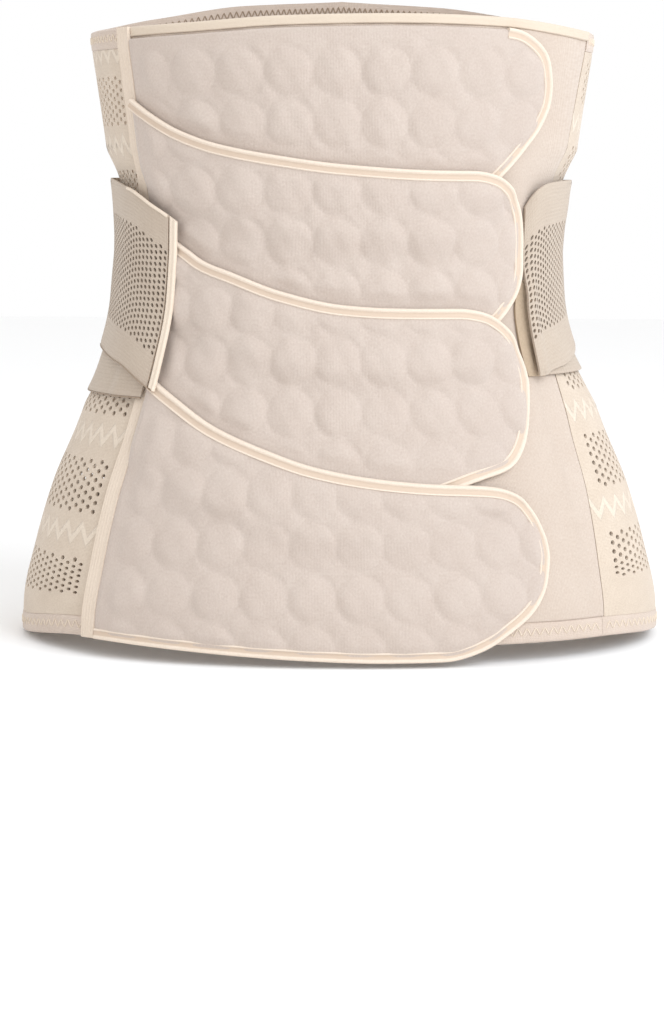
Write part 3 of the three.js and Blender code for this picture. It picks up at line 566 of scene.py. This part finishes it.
def strip(name, turns, low, high, outer, inner, rows=7, roll=1.6):
    """Hem between two heights that follow the turn, with a soft roll at both edges. Where it starts
    at the right seam's top, its end leans as the seam does."""
    j = with_soft_ends(rows, HEM_HEIGHT, roll)
    turn = np.repeat(turns[:, None], len(j), 1)
    height = low(turn) + (high(turn) - low(turn)) * j
    near_start = 1 - smooth_step(0, 12, turn - turns[0])
    lean = (right_seam(height) - right_seam(height[:1, -1:])) * near_start
    turn = turn + np.where(height > 0, lean, 0)
    full = rolled(j, HEM_HEIGHT, roll)
    return cloth(name, turn.ravel(), height.ravel(), grid_faces(len(turns), len(j)),
                 np.tile(inner + (outer - inner) * full, len(turns)),
                 np.full(turn.size, inner), turn * per_degree(turn, height), height)


def turn_outwards(piece):
    """Makes all faces of a closed piece point outwards."""
    select_alone(piece)
    bpy.ops.object.mode_set(mode="EDIT")
    bpy.ops.mesh.select_all(action="SELECT")
    bpy.ops.mesh.normals_make_consistent(inside=False)
    bpy.ops.object.mode_set(mode="OBJECT")


def zigzag_thread(name, turns, middle, swing, offset, size=0.32):
    """Zigzag of thread on the trunk: one short bar of thread for each stitch."""
    sides = 6
    shares = ((0.02, 0.25), (0.2, 1), (0.8, 1), (0.98, 0.25))
    places = [(t, middle(t) + (swing if i % 2 else -swing)) for i, t in enumerate(turns)]
    points, faces = [], []
    for (t0, z0), (t1, z1) in zip(places, places[1:]):
        start, end = on_trunk(t0, z0, offset), on_trunk(t1, z1, offset)
        half_way = (t0 + t1) / 2, (z0 + z1) / 2
        out = on_trunk(*half_way, offset + 1) - on_trunk(*half_way, offset)
        way = (end - start) / np.linalg.norm(end - start)
        side = np.cross(way, out)
        base = len(points)
        for share, width in shares:
            centre = start + (end - start) * share
            sink = -0.35 * size if width < 1 else 0
            for a in range(sides):
                angle = math.tau * a / sides
                round_it = side * math.cos(angle) + out * math.sin(angle)
                points.append(centre + size * width * round_it + out * sink)
        for ring in range(len(shares) - 1):
            first = base + ring * sides
            for a in range(sides):
                b = (a + 1) % sides
                faces.append((first + b, first + a, first + sides + a, first + sides + b))
        last = base + len(shares) * sides - 1
        faces.append(tuple(base + a for a in range(sides)))
        faces.append(tuple(last - a for a in range(sides)))
    points = np.array(points)
    piece = new_piece(name, points, faces, points[:, [0, 2]])
    turn_outwards(piece)
    return piece


def hem_top(turn):
    return lower_edge(turn) + HEM_HEIGHT


THREAD_PROUD, THREAD_SWING, STITCH_DEGREES, HEM_STEP_DEGREES = 0.1, 2.0, 0.95, 0.9
top_left, top_right = left_seam(ABOVE_WAIST), right_seam(ABOVE_WAIST)
low_left, low_right = left_seam(-BELOW_WAIST), right_seam(-BELOW_WAIST)
hems = {}
for hem_name, node, start, end, low, high in (
    ("top_back_hem", "top_hem", shifted(top_right, ABOVE_WAIST, SEAM),
     360 + shifted(top_left, ABOVE_WAIST, -SEAM), lambda t: top_edge(t) - HEM_HEIGHT, top_edge),
    ("low_back_hem", "bottom_hem", shifted(low_right, -BELOW_WAIST, SEAM),
     360 + shifted(low_left, -BELOW_WAIST, -SEAM), lower_edge, hem_top),
    ("low_front_hem", "front_hem", shifted(low_left, -BELOW_WAIST, SEAM),
     shifted(low_right, -BELOW_WAIST, -SEAM), lower_edge, hem_top),
):
    turns = np.linspace(start, end, int((end - start) / HEM_STEP_DEGREES))
    hems[node] = strip(hem_name, turns, low, high, PANEL_THICKNESS, -HEM_FOLD)
    finish_piece(hems[node], hem_knit, [node])
    stitch_turns = np.linspace(start + 0.8, end - 0.8, int((end - start) / STITCH_DEGREES))
    for side, offset, yarn in (("outside", PANEL_THICKNESS + THREAD_PROUD, thread_cotton),
                               ("inside", -HEM_FOLD - THREAD_PROUD, brown_thread_and_painted_shadow)):
        thread = zigzag_thread(f"{hem_name}_thread_{side}", stitch_turns,
                               lambda t: low(t) + HEM_HEIGHT * 0.55, THREAD_SWING, offset)
        finish_piece(thread, yarn, angle=60)

# Flaps. Four quilted flaps, one over the other like shingles, each rounded at its free end. A thin
# wadding is stitched in circles, and a folded satin binding is sewn round the edge.
FLAP_BINDING_WIDTH, BINDING_PROUD, TAPE_WIDTH = 4.8, 0.4, 8.6
LAP_LIFT = FLAP_THICKNESS + BINDING_PROUD + LAYER_GAP
LIFT_FLAT, LIFT_RUN = 8, 15
QUILT_ALONG, QUILT_UP, PUFF_RADIUS, PUFF_HEIGHT = 22, 24, 11.2, 1.8
flaps = [
    {"name": "flap_top", "bound": (46, 27), "phase": -2.5, "first_row": 0.764, "edge": [
        (-64, 0.965, 0.5), (-47, 0.965, 0.32), (-30, 0.965, 0.235), (0, 0.965, 0.175),
        (30, 0.965, 0.17), (42, 0.965, 0.24), (49, 0.95, 0.345), (54.5, 0.9, 0.455),
        (58, 0.835, 0.54), (60.2, 0.72, 0.63)]},
    {"name": "flap_upper", "bound": (-90, 26), "phase": -2.5, "first_row": 0.264, "edge": [
        (-64, 0.715, -0.04), (-54, 0.586, -0.07), (-47, 0.518, -0.105), (-37, 0.46, -0.15),
        (-17, 0.404, -0.213), (0, 0.375, -0.242), (32, 0.351, -0.235), (40, 0.351, -0.215),
        (46, 0.333, -0.185), (51.5, 0.265, -0.135), (54.6, 0.172, -0.085), (55.6, 0.055, -0.045)]},
    {"name": "flap_lower", "bound": (-90, 8), "phase": -1.5, "first_row": -0.268, "edge": [
        (-64, 0.19, -0.35), (-53.5, 0.086, -0.43), (-43, -0.018, -0.497), (-34, -0.05, -0.545),
        (-20, -0.094, -0.595), (0, -0.128, -0.635), (16, -0.136, -0.625), (27, -0.137, -0.588),
        (36, -0.137, -0.557), (43, -0.147, -0.533), (48, -0.176, -0.477), (51.5, -0.225, -0.39),
        (53.2, -0.29, -0.325)]},
    {"name": "flap_bottom", "bound": (-90, -90), "phase": 9, "first_row": -0.59, "edge": [
        (-64, -0.2, -0.968), (-53.5, -0.31, -0.968), (-45, -0.366, -0.972), (-34, -0.431, -0.979),
        (-20, -0.485, -0.988), (-7, -0.524, -0.995), (10, -0.552, -1), (24, -0.565, -0.999),
        (32, -0.569, -0.975), (38, -0.575, -0.93), (43, -0.597, -0.88), (46.3, -0.647, -0.815),
        (47.8, -0.71, -0.75)]},
]
for flap in flaps:
    flap["top"] = smooth_curve([(turn, top) for turn, top, _ in flap["edge"]])
    flap["bottom"] = smooth_curve([(turn, bottom) for turn, _, bottom in flap["edge"]])
    flap["tip"] = flap["edge"][-1][0]


def flap_left(height):
    return shifted(left_seam(height), height, TAPE_WIDTH / 2 + 0.4)


def flap_edge(flap, side):
    """Edge of a flap, no higher than the binding of the front's top edge allows."""
    under_binding = TOP_BINDING_HEIGHT + 0.4
    return lambda turn: np.minimum(height_of(flap[side](turn)), top_edge(turn) - under_binding)


def lap_lift(index, turn, height):
    """How far a flap stands off where it lies on the flap above it."""
    if index == 0:
        return np.zeros(np.broadcast(turn, height).shape)
    above = flaps[index - 1]
    below = np.maximum(0, flap_edge(above, "bottom")(turn) - height)
    aside = np.maximum(0, (turn - above["tip"]) * per_degree(turn, height))
    return LAP_LIFT * (1 - smooth_step(0, 1, (np.hypot(below, aside) - LIFT_FLAT) / LIFT_RUN))


def turn_at_length(length, height):
    """Turn at a length round the trunk from the middle of the front."""
    turns = np.linspace(-75, 75, 601)
    steps = per_degree((turns[1:] + turns[:-1]) / 2, height) * (turns[1] - turns[0])
    lengths = np.concatenate([[0], np.cumsum(steps)])
    return np.interp(length, lengths - np.interp(0, turns, lengths), turns)


quilted = fabric("quilted_loop", "b3a195", "cfc3b9", 0.0007, 0.9, 0.35, 0.95, 0.00025, 0.3)
puff_size = np.random.default_rng(7)


def flap_cloth(index):
    """Quilted cloth of a flap. Its left end is tucked under the tape of the left seam."""
    flap = flaps[index]
    top, bottom = flap_edge(flap, "top"), flap_edge(flap, "bottom")
    tip = flap["tip"]
    share = np.sin(np.linspace(0, 1, 150) * math.pi / 2)
    share = np.unique(np.concatenate([np.linspace(0, 0.93, 170), share[share > 0.93]]))
    trim, tuck, row_step, usual_height, roll = 0.8, 1.2, 1.25, 90, 1.4
    j = with_soft_ends(int((top(0) - bottom(0)) / row_step), usual_height, roll)
    turn = np.full((len(share), len(j)), -55.0)
    for _ in range(8):
        height = bottom(turn) + trim + (top(turn) - bottom(turn) - 2 * trim) * j
        left = shifted(flap_left(height), height, -tuck)
        turn = left + (tip - 0.35 - left) * share[:, None]
    middle = (top(0) + bottom(0)) / 2
    columns = turn_at_length(flap["phase"] + np.arange(-12, 13) * QUILT_ALONG, middle)
    k = np.abs(turn[..., None] - columns).argmin(-1)
    row_zero = height_of(flap["first_row"])
    row = np.round((height - row_zero) / QUILT_UP)
    scale = per_degree(turn, height)
    dx, dz = (turn - columns[k]) * scale, height - row_zero - row * QUILT_UP
    r = np.hypot(dx, dz) / PUFF_RADIUS
    vary = 0.75 + 0.5 * puff_size.random((25, 40))[k, (row + 20).astype(int)]
    dome = PUFF_HEIGHT * np.clip(1 - r**3, 0, 1) * vary
    star = 0.5 * (1 - np.exp(-((np.maximum(r, 1) - 1) / 0.13) ** 2))
    covered = [flap_edge(below, "top")(turn) for below in flaps[index + 1:index + 2]]
    lowest = np.maximum.reduce([bottom(turn), *covered])
    from_left, from_tip = (turn - left) * scale, (tip - turn) * scale
    show = smooth_step(2, 9, height - lowest) * smooth_step(4, 11, top(turn) - height)
    show = show * smooth_step(2, 9, from_tip) * smooth_step(4, 13, from_left)
    full = rolled(j, usual_height, roll) * (0.45 + 0.55 * smooth_step(0, 2.8, from_left))
    base = OVER_PANEL + lap_lift(index, turn, height)
    crease = 0.35 * np.sin(turn * 0.21 + height * 0.11 + index) * np.sin(turn * 0.37 - height * 0.07)
    crease = crease + 0.2 * np.sin(turn * 0.9 + height * 0.05) * np.sin(height * 0.33 + turn * 0.2)
    outer = base + FLAP_THICKNESS * full + (dome + star + crease) * show
    return cloth(flap["name"] + "_quilt", turn.ravel(), height.ravel(),
                 grid_faces(turn.shape[0], turn.shape[1]), outer.ravel(), base.ravel(),
                 turn * scale, height)


def hollow_painted_shade(tree, flat, shade, height):
    """Darkens the hollow between the binding's two ridges towards the flap's tone: painted shade for the
    hollow.
    """
    across = put(tree, "ShaderNodeSeparateXYZ", [(0, flat)]).outputs[1]
    begins, ends = (
        put(tree, "ShaderNodeMapRange", [(0, across), (1, low), (2, high), (3, at_low), (4, 1 - at_low)])
        for low, high, at_low in ((0.0017, 0.0022, 0.0), (0.0038, 0.0043, 1.0)))
    hollow = calc(tree, "MULTIPLY", begins.outputs[0], ends.outputs[0])
    return calc(tree, "SUBTRACT", shade, calc(tree, "MULTIPLY", hollow, 0.75)), height


top_satin = fabric("top_binding_satin", "c8b6a3", "dccebc", 0.0005, 0.5, 0.3, 0.65, 0.00015, 0.15)
satin = fabric("binding_satin", "d4c1ac", "ecdfcf", 0.0005, 0.5, 0.3, 0.55, 0.00015, 0.1)
# The flap binding's colour is darkened in the hollow between its two ridges: painted shade.
flap_satin = fabric("flap_binding_satin", "cdb9a6", "efe3d4", 0.0005, 0.5, 0.2, 0.55, 0.00015, 0.1,
                    hollow_painted_shade)


def sweep(name, places, section, base, fit=None):
    """Ribbon along places (turn, height). section is a closed list of (across, out) in mm, where
    across goes in from the edge, to the right hand of the way the places run. fit can move a
    height, to slant the ends."""
    turn, height = np.array(places, float).T
    scale = per_degree(turn, height)
    step_along = np.gradient(turn) * scale
    step_up = np.gradient(height)
    length = np.hypot(step_along, step_up)
    spots = []
    for across, out in section:
        t = turn + across * step_up / length / scale
        z = height - across * step_along / length
        z = fit(t, z) if fit else z
        spots.append(on_trunk(t, z, base(t, z) + out))
    points = np.stack(spots, 1)
    size, count = len(section), len(turn)
    faces = []
    for start in range(0, (count - 1) * size, size):
        for i in range(size):
            n = (i + 1) % size
            faces.append((start + i, start + size + i, start + size + n, start + n))
    faces.append(tuple(range(size)))
    faces.append(tuple((count - 1) * size + i for i in reversed(range(size))))
    steps = np.linalg.norm(np.diff(points[:, 0], axis=0), axis=1)
    travelled = np.concatenate([[0], np.cumsum(steps)])
    around = np.array([across for across, _ in section])
    flat = np.stack([np.repeat(travelled, size), np.tile(around, count)], -1)
    piece = new_piece(name, points.reshape(-1, 3), faces, flat)
    turn_outwards(piece)
    return piece


# Section of the binding: a full fold at the edge, a hollow, and a thin stitched lip
flap_fold = [(0.9, -0.05), (0.15, 0.3), (-0.1, 1.3), (0.0, 2.4), (0.4, 3.05), (0.95, 3.2),
             (1.5, 2.95), (1.85, 2.5), (2.1, 2.35), (3.0, 2.3), (3.8, 2.35), (4.1, 2.65), (4.4, 2.9),
             (4.75, 2.85), (5.0, 2.4), (5.05, 1.6), (4.5, 0.6)]


def lengths_along(places):
    """Rough length in mm along (turn, height) places, from the first one to each."""
    mm_per_degree = 2.0
    steps = np.hypot(np.diff(places[:, 0]) * mm_per_degree, np.diff(places[:, 1]))
    return np.concatenate([[0], np.cumsum(steps)])


def flap_outline(flap):
    """Bound part of a flap's outline: along the top to the tip, and back along the bottom."""
    places = []
    for side, bound in (("top", flap["bound"][0]), ("bottom", flap["bound"][1])):
        edge = flap_edge(flap, side)
        start = flap_left(np.array(-60.0))
        for _ in range(20):
            start = flap_left(edge(start))
        start = max(bound, start)
        share = np.sin(np.linspace(0, 1, 160) * math.pi / 2)
        line = [(t, edge(t)) for t in start + (flap["tip"] - start) * share]
        places += line if side == "top" else line[::-1]
    places = np.array(places, float)
    kept = [0]
    for i in range(1, len(places)):
        if lengths_along(places[[kept[-1], i]])[-1] > CLOSEST_PLACES:
            kept.append(i)
    places = places[kept]
    along = lengths_along(places)
    even = np.linspace(0, along[-1], int(along[-1] / EVEN_STEP))
    even_places = np.stack([np.interp(even, along, places[:, i]) for i in (0, 1)], -1)
    for _ in range(6):
        even_places[1:-1] = (even_places[:-2] + 2 * even_places[1:-1] + even_places[2:]) / 4
    return even_places


CLOSEST_PLACES, EVEN_STEP = 0.9, 1.5
for index, flap in enumerate(flaps):
    flap["quilt"] = flap_cloth(index)
    finish_piece(flap["quilt"], quilted, [flap["name"]], 60)
    flap["binding"] = sweep(flap["name"] + "_edge", flap_outline(flap), flap_fold,
                            lambda t, z, index=index: OVER_PANEL + lap_lift(index, t, z))
    finish_piece(flap["binding"], flap_satin, [flap["name"] + "_binding"], 60)

# Section of the top edge's binding, folded over the cloth from both of its sides
top_fold = [(4.5, 1.9), (4.3, 2.5), (3.8, 2.6), (3.0, 2.4), (1.6, 2.7), (0.7, 2.75), (0.15, 2.3),
            (-0.1, 1.2), (-0.05, -0.3), (0.3, -0.7), (4.5, -0.7)]
top_turns = np.linspace(shifted(top_left, ABOVE_WAIST, TAPE_WIDTH / 2 + 0.4), top_right, 150)
top_binding = sweep("top_edge_binding", np.stack([top_turns, top_edge(top_turns)], -1), top_fold,
                    lambda t, z: np.zeros_like(t))
finish_piece(top_binding, top_satin, ["top_binding"], 60)

# Tapes. Ribbed cotton tape over the left front seam, with a pale cord at its right edge, and a
# boned tape over each seam of the back panel.
TAPE_THICKNESS = 1.8
tape_cotton = fabric("tape_cotton", "c8b5a2", "e9dbcb", 0.0006, 0.6, 0.4, 0.8, 0.0002, 0.15)


def ribbed(width, ribs, cord):
    """Section of a tape lying flat: ribs along its face, and a higher cord at its right edge."""
    across = np.linspace(0, 1, ribs * 6 + 1)
    out = TAPE_THICKNESS * 0.78 + 0.11 * np.cos(across * math.tau * ribs)
    out = out * np.clip(np.minimum(across, 1 - across) * width / 0.5 + 0.5, 0, 1)
    out = out + cord * np.exp(-(((across - 0.93) * width / 0.55) ** 2))
    face = [(a * width, o) for a, o in zip(across, out)]
    return [*face, (width, 0.0), (0.0, 0.0)]


def upright(name, line, width, low, high, section, step=2.0, offset=OVER_PANEL, fit=None):
    """Tape about an upright line, on an offset from the trunk. across runs to the right."""
    heights = np.linspace(low, high, int((high - low) / step))
    places = np.stack([shifted(line(heights), heights, -width / 2), heights], -1)
    return sweep(name, places, section, lambda t, z: np.full(np.shape(t), float(offset)), fit)


front_tape = upright("front_seam_tape", left_seam, TAPE_WIDTH, lower_edge(low_left),
                     top_edge(top_left), ribbed(TAPE_WIDTH, ribs=5, cord=0.5))
finish_piece(front_tape, tape_cotton, ["front_tape"], 60)
STAY_WIDTH = 12
boned = [(0, 0), (0, 0.45), (0.3, 0.7), (1.2, 0.75), (1.6, 0.6), (2.2, 1.15), (3.6, 1.6),
         (5, 1.8), (7, 1.8), (8.4, 1.6), (9.8, 1.15), (10.4, 0.6), (10.8, 0.75), (11.7, 0.7),
         (12, 0.45), (12, 0)]
for stay_name, node, line in (
    ("back_stay_tape_left", "back_stay_left", lambda z: -back_seam(z)),
    ("back_stay_tape_right", "back_stay_right", back_seam),
):
    stay = upright(stay_name, line, STAY_WIDTH, hem_top(180), top_edge(180) - HEM_HEIGHT, boned)
    finish_piece(stay, tape_cotton, [node], 60)

# Straps. Wide elastic straps, knitted open along the middle, are pulled round each side and
# hooked down in front.
STRAP_THICKNESS, STRAP_HEIGHT, BAND_HEIGHT, STRAP_BACK = 1.4, 83, 40, 162
STRAP_ROWS, STRAP_CELL, STRAP_HOLE = 29, 2.35, (0.78, 0.95)
STRAP_BINDING_WIDTH, LEFT_FRONT, RIGHT_FRONT = 3.6, -49.6, 56
RIDE = {"panel": 2.7, "tape": 5.0, "band": 5.0, "flaps": 8.9}
OVER_TAB = 3.2


def ride_offset(rows):
    return smooth_curve([(turn, RIDE[over]) for turn, over in rows])


def strap_marks(tree, flat, shade, height):
    """Lengthwise cords of the elastic, all the same way as the strap."""
    up = put(tree, "ShaderNodeSeparateXYZ", [(0, flat)]).outputs[1]
    cords = calc(tree, "SINE", calc(tree, "MULTIPLY", up, math.tau / 0.0017))
    return (calc(tree, "ADD", shade, calc(tree, "MULTIPLY", cords, 0.035)),
            calc(tree, "ADD", height, calc(tree, "MULTIPLY", cords, 0.25)))


elastic = fabric("strap_elastic", "a89584", "c9bcac", 0.0008, 0.6, 0.4, 0.85, 0.00025, 0.2, strap_marks)


def mesh_strap(name, left, right, top, tall, ride, hole_rows, closed_ends, lift=None):
    """Strap from a left to a right edge with holes in some of its rows."""
    turns = np.linspace(left(0.5), right(0.5), 400)
    length = np.sum(per_degree(turns, 0.0)) * (turns[1] - turns[0])
    columns = int(length / STRAP_CELL)

    def is_open(k, low):
        return (hole_rows[0] <= low < hole_rows[1]
                and closed_ends[0] <= k < columns - closed_ends[1])

    hole_share = (STRAP_HOLE[0] / STRAP_CELL, STRAP_HOLE[1] / (STRAP_HEIGHT / STRAP_ROWS))
    places, faces = lattice(columns, STRAP_ROWS, is_open, hole_share)
    share, up = places[:, 0] / columns, places[:, 1] / STRAP_ROWS
    turn = left(up) + (right(up) - left(up)) * share
    upper = height_of(top(turn))
    height = upper - STRAP_HEIGHT * tall(turn) * (1 - up)
    inner = ride(turn) + (lift(turn, height) if lift else 0)
    edge = np.clip(np.minimum(up, 1 - up) * STRAP_ROWS / 0.6, 0, 1)
    outer = inner + STRAP_THICKNESS * (0.6 + 0.4 * edge)
    return cloth(name, turn, height, faces, outer, inner, share * length, up * STRAP_HEIGHT)


left_top = smooth_curve([(-166, 0.345), (-90, 0.33), (-64, 0.277), (-54, 0.19), (-48, 0.125)])
left_tall = smooth_curve([(-166, 1), (-90, 1), (-64, 1.01), (-54, 1.01), (-48, 1)])
right_top = smooth_curve([(RIGHT_FRONT, 0.2), (58.6, 0.267), (65, 0.308), (90, 0.33), (166, 0.345)])
right_tall = smooth_curve([(RIGHT_FRONT, 0.97), (58.6, 1.05), (65, 1.07), (90, 1), (166, 1)])
left_ride = ride_offset([(-166, "band"), (-80, "band"), (-59.5, "flaps"), (-47, "flaps")])
right_ride = ride_offset([(RIGHT_FRONT, "panel"), (59, "band"), (166, "band")])


def upright_edge(turn):
    """Plain end of a strap, at one turn."""
    return lambda up: turn + 0 * np.asarray(up, float)


def slanted_edge(turn):
    """Front edge of the left strap, whose top leans to the right."""
    return lambda up: turn + 2 * (np.asarray(up, float) - 0.5)


left_cloth_front = shifted(LEFT_FRONT, 0, -(STRAP_BINDING_WIDTH + 0.4))
strap_left = mesh_strap(
    "left_tension_strap", upright_edge(-STRAP_BACK), slanted_edge(left_cloth_front),
    left_top, left_tall, left_ride, hole_rows=(5, 23), closed_ends=(4, 0))
finish_piece(strap_left, elastic, ["tension_strap_left"], 50)
strap_right = mesh_strap(
    "right_tension_strap", upright_edge(RIGHT_FRONT), upright_edge(STRAP_BACK),
    right_top, right_tall, right_ride, hole_rows=(6, 22), closed_ends=(0, 4),
    lift=lambda turn, height: (OVER_TAB * (1 - smooth_step(RIGHT_FRONT, 61, turn))
                               * smooth_step(-4, -22, height)))
finish_piece(strap_right, elastic, ["tension_strap_right"], 50)

# Hook tab. A strip of hook tape under the right strap's front edge holds it to the loop cloth, and
# its rounded edge shows beside the strap.
# The tab's colour is darkened towards brown: partly the tape's own tone, partly painted shade for the
# gap beside the strap's lifted edge.
hook_tape_painted_shade = fabric("hook_tape_painted_shade", "a8947c", "c2ad95", 0.0007, 0.9, 0.4, 0.8, 0.0003, 0.1)
TAB_FRONT, TAB_BACK, TAB_FOOT, TAB_HEIGHT = 53.2, 59, -59, 46
TAB_OFFSET, TAB_THICKNESS, TAB_MM_PER_DEGREE = 2.0, 1.2, 1.6
tab_out, tab_up = np.linspace(0, 1, 12), with_soft_ends(16, TAB_HEIGHT)
tab_turn = (TAB_FRONT + 1.2 * np.abs(2 * tab_up - 0.9) ** 3
            + (TAB_BACK - TAB_FRONT) * tab_out[:, None])
tab_height = TAB_FOOT + TAB_HEIGHT * tab_up + 0 * tab_turn
tab_outer = TAB_OFFSET + 0.1 + (TAB_THICKNESS - 0.1) * rolled(tab_up, TAB_HEIGHT) + 0 * tab_turn
hook_tab = cloth("right_strap_hook_tab", tab_turn.ravel(), tab_height.ravel(),
                 grid_faces(len(tab_out), len(tab_up)), tab_outer.ravel(),
                 np.full(tab_turn.size, TAB_OFFSET), tab_turn * TAB_MM_PER_DEGREE, tab_height)
finish_piece(hook_tab, hook_tape_painted_shade, angle=50)

# Bands. A narrower plain band of the same elastic is sewn behind each strap and shows below it. It
# lies close on the panel, and on the left it ends on the tape.
LEFT_BAND_LEVEL, RIGHT_BAND_LEVEL = -0.366, -0.308


def band(name, start, end, level, ride):
    j = with_soft_ends(24, BAND_HEIGHT)
    turns = np.linspace(start, end, 130)
    turn = np.repeat(turns[:, None], len(j), 1)
    height = height_of(level) + BAND_HEIGHT * j[None, :] + 0 * turn
    inner = ride(turn)
    outer = inner + STRAP_THICKNESS * rolled(j, BAND_HEIGHT)[None, :]
    return cloth(name, turn.ravel(), height.ravel(), grid_faces(len(turns), len(j)), outer.ravel(),
                 inner.ravel(), turn * per_degree(turn, 0), height)


left_band_ride = ride_offset([(-166, "panel"), (-68, "panel"), (-63, "tape"), (-54, "tape")])
right_band_ride = ride_offset([(RIGHT_FRONT, "panel"), (166, "panel")])
band_left = band("left_strap_band", -STRAP_BACK, -55, LEFT_BAND_LEVEL, left_band_ride)
finish_piece(band_left, elastic, ["strap_band_left"], 50)
band_right = band("right_strap_band", 60, STRAP_BACK, RIGHT_BAND_LEVEL, right_band_ride)
finish_piece(band_right, elastic, ["strap_band_right"], 50)

# Edges of the left strap. Satin binds its front edge, a pale cord runs along its top edge towards
# the front, and a thin brown strand under its lower edge and under the band's is painted shadow.
strap_high = height_of(left_top(LEFT_FRONT))
strap_low = strap_high - STRAP_HEIGHT
strap_edge = [(0, 0), (0, 0.8), (0.35, 1.45), (0.9, 1.5), (1.4, 1.25), (1.9, 1.2), (2.5, 1.65),
              (3.1, 1.8), (3.5, 1.4), (3.6, 0.7), (3.6, 0)]
strap_binding = upright(
    "left_strap_edge",
    lambda z: shifted(slanted_edge(LEFT_FRONT)((z - strap_low) / STRAP_HEIGHT), z,
                      -STRAP_BINDING_WIDTH / 2),
    STRAP_BINDING_WIDTH, strap_low, strap_high, strap_edge, offset=RIDE["flaps"],
    fit=lambda t, z: z + height_of(left_top(t)) - strap_high)
finish_piece(strap_binding, satin, ["strap_binding_left"], 60)
cord = [(1.2, 0.1), (0.2, 0.1), (-0.2, 0.8), (0.0, 1.6), (0.5, 1.9), (1.0, 1.7), (1.3, 1.3)]
# Section of a thin brown strand laid under a lower edge, standing in for the shadow there: painted
# shadow.
painted_shadow_line = [(0.1, 0.1), (-0.4, 0.1), (-0.55, 0.6), (-0.4, 1.1), (0.1, 1.3)]
for thread_name, start, end, edge, ride, section, yarn in (
    ("left_strap_top_cord", -65, -50.9, lambda t: height_of(left_top(t)), left_ride, cord, satin),
    ("left_strap_painted_shadow_line", -51.9, -100,
     lambda t: height_of(left_top(t)) - STRAP_HEIGHT * left_tall(t), left_ride, painted_shadow_line, brown_thread_and_painted_shadow),
    ("left_band_painted_shadow_line", -55.2, -100,
     lambda t: height_of(LEFT_BAND_LEVEL) + 0 * t, left_band_ride, painted_shadow_line, brown_thread_and_painted_shadow),
):
    turns = np.linspace(start, end, 60)
    thread = sweep(thread_name, np.stack([turns, edge(turns)], -1), section, lambda t, z: ride(t))
    finish_piece(thread, yarn, angle=60)

# Cut sizes. Each cloth is given the size it was cut to, before it was stretched round the trunk. The
# front and side panels are cut narrower at the waist, so their areas are less than their rectangles.
for flap in flaps:
    turns = np.linspace(flap_left(np.array(-60.0)), flap["tip"], 300)
    top, bottom = flap_edge(flap, "top")(turns), flap_edge(flap, "bottom")(turns)
    steps_along = per_degree(turns, (top + bottom) / 2) * (turns[1] - turns[0])
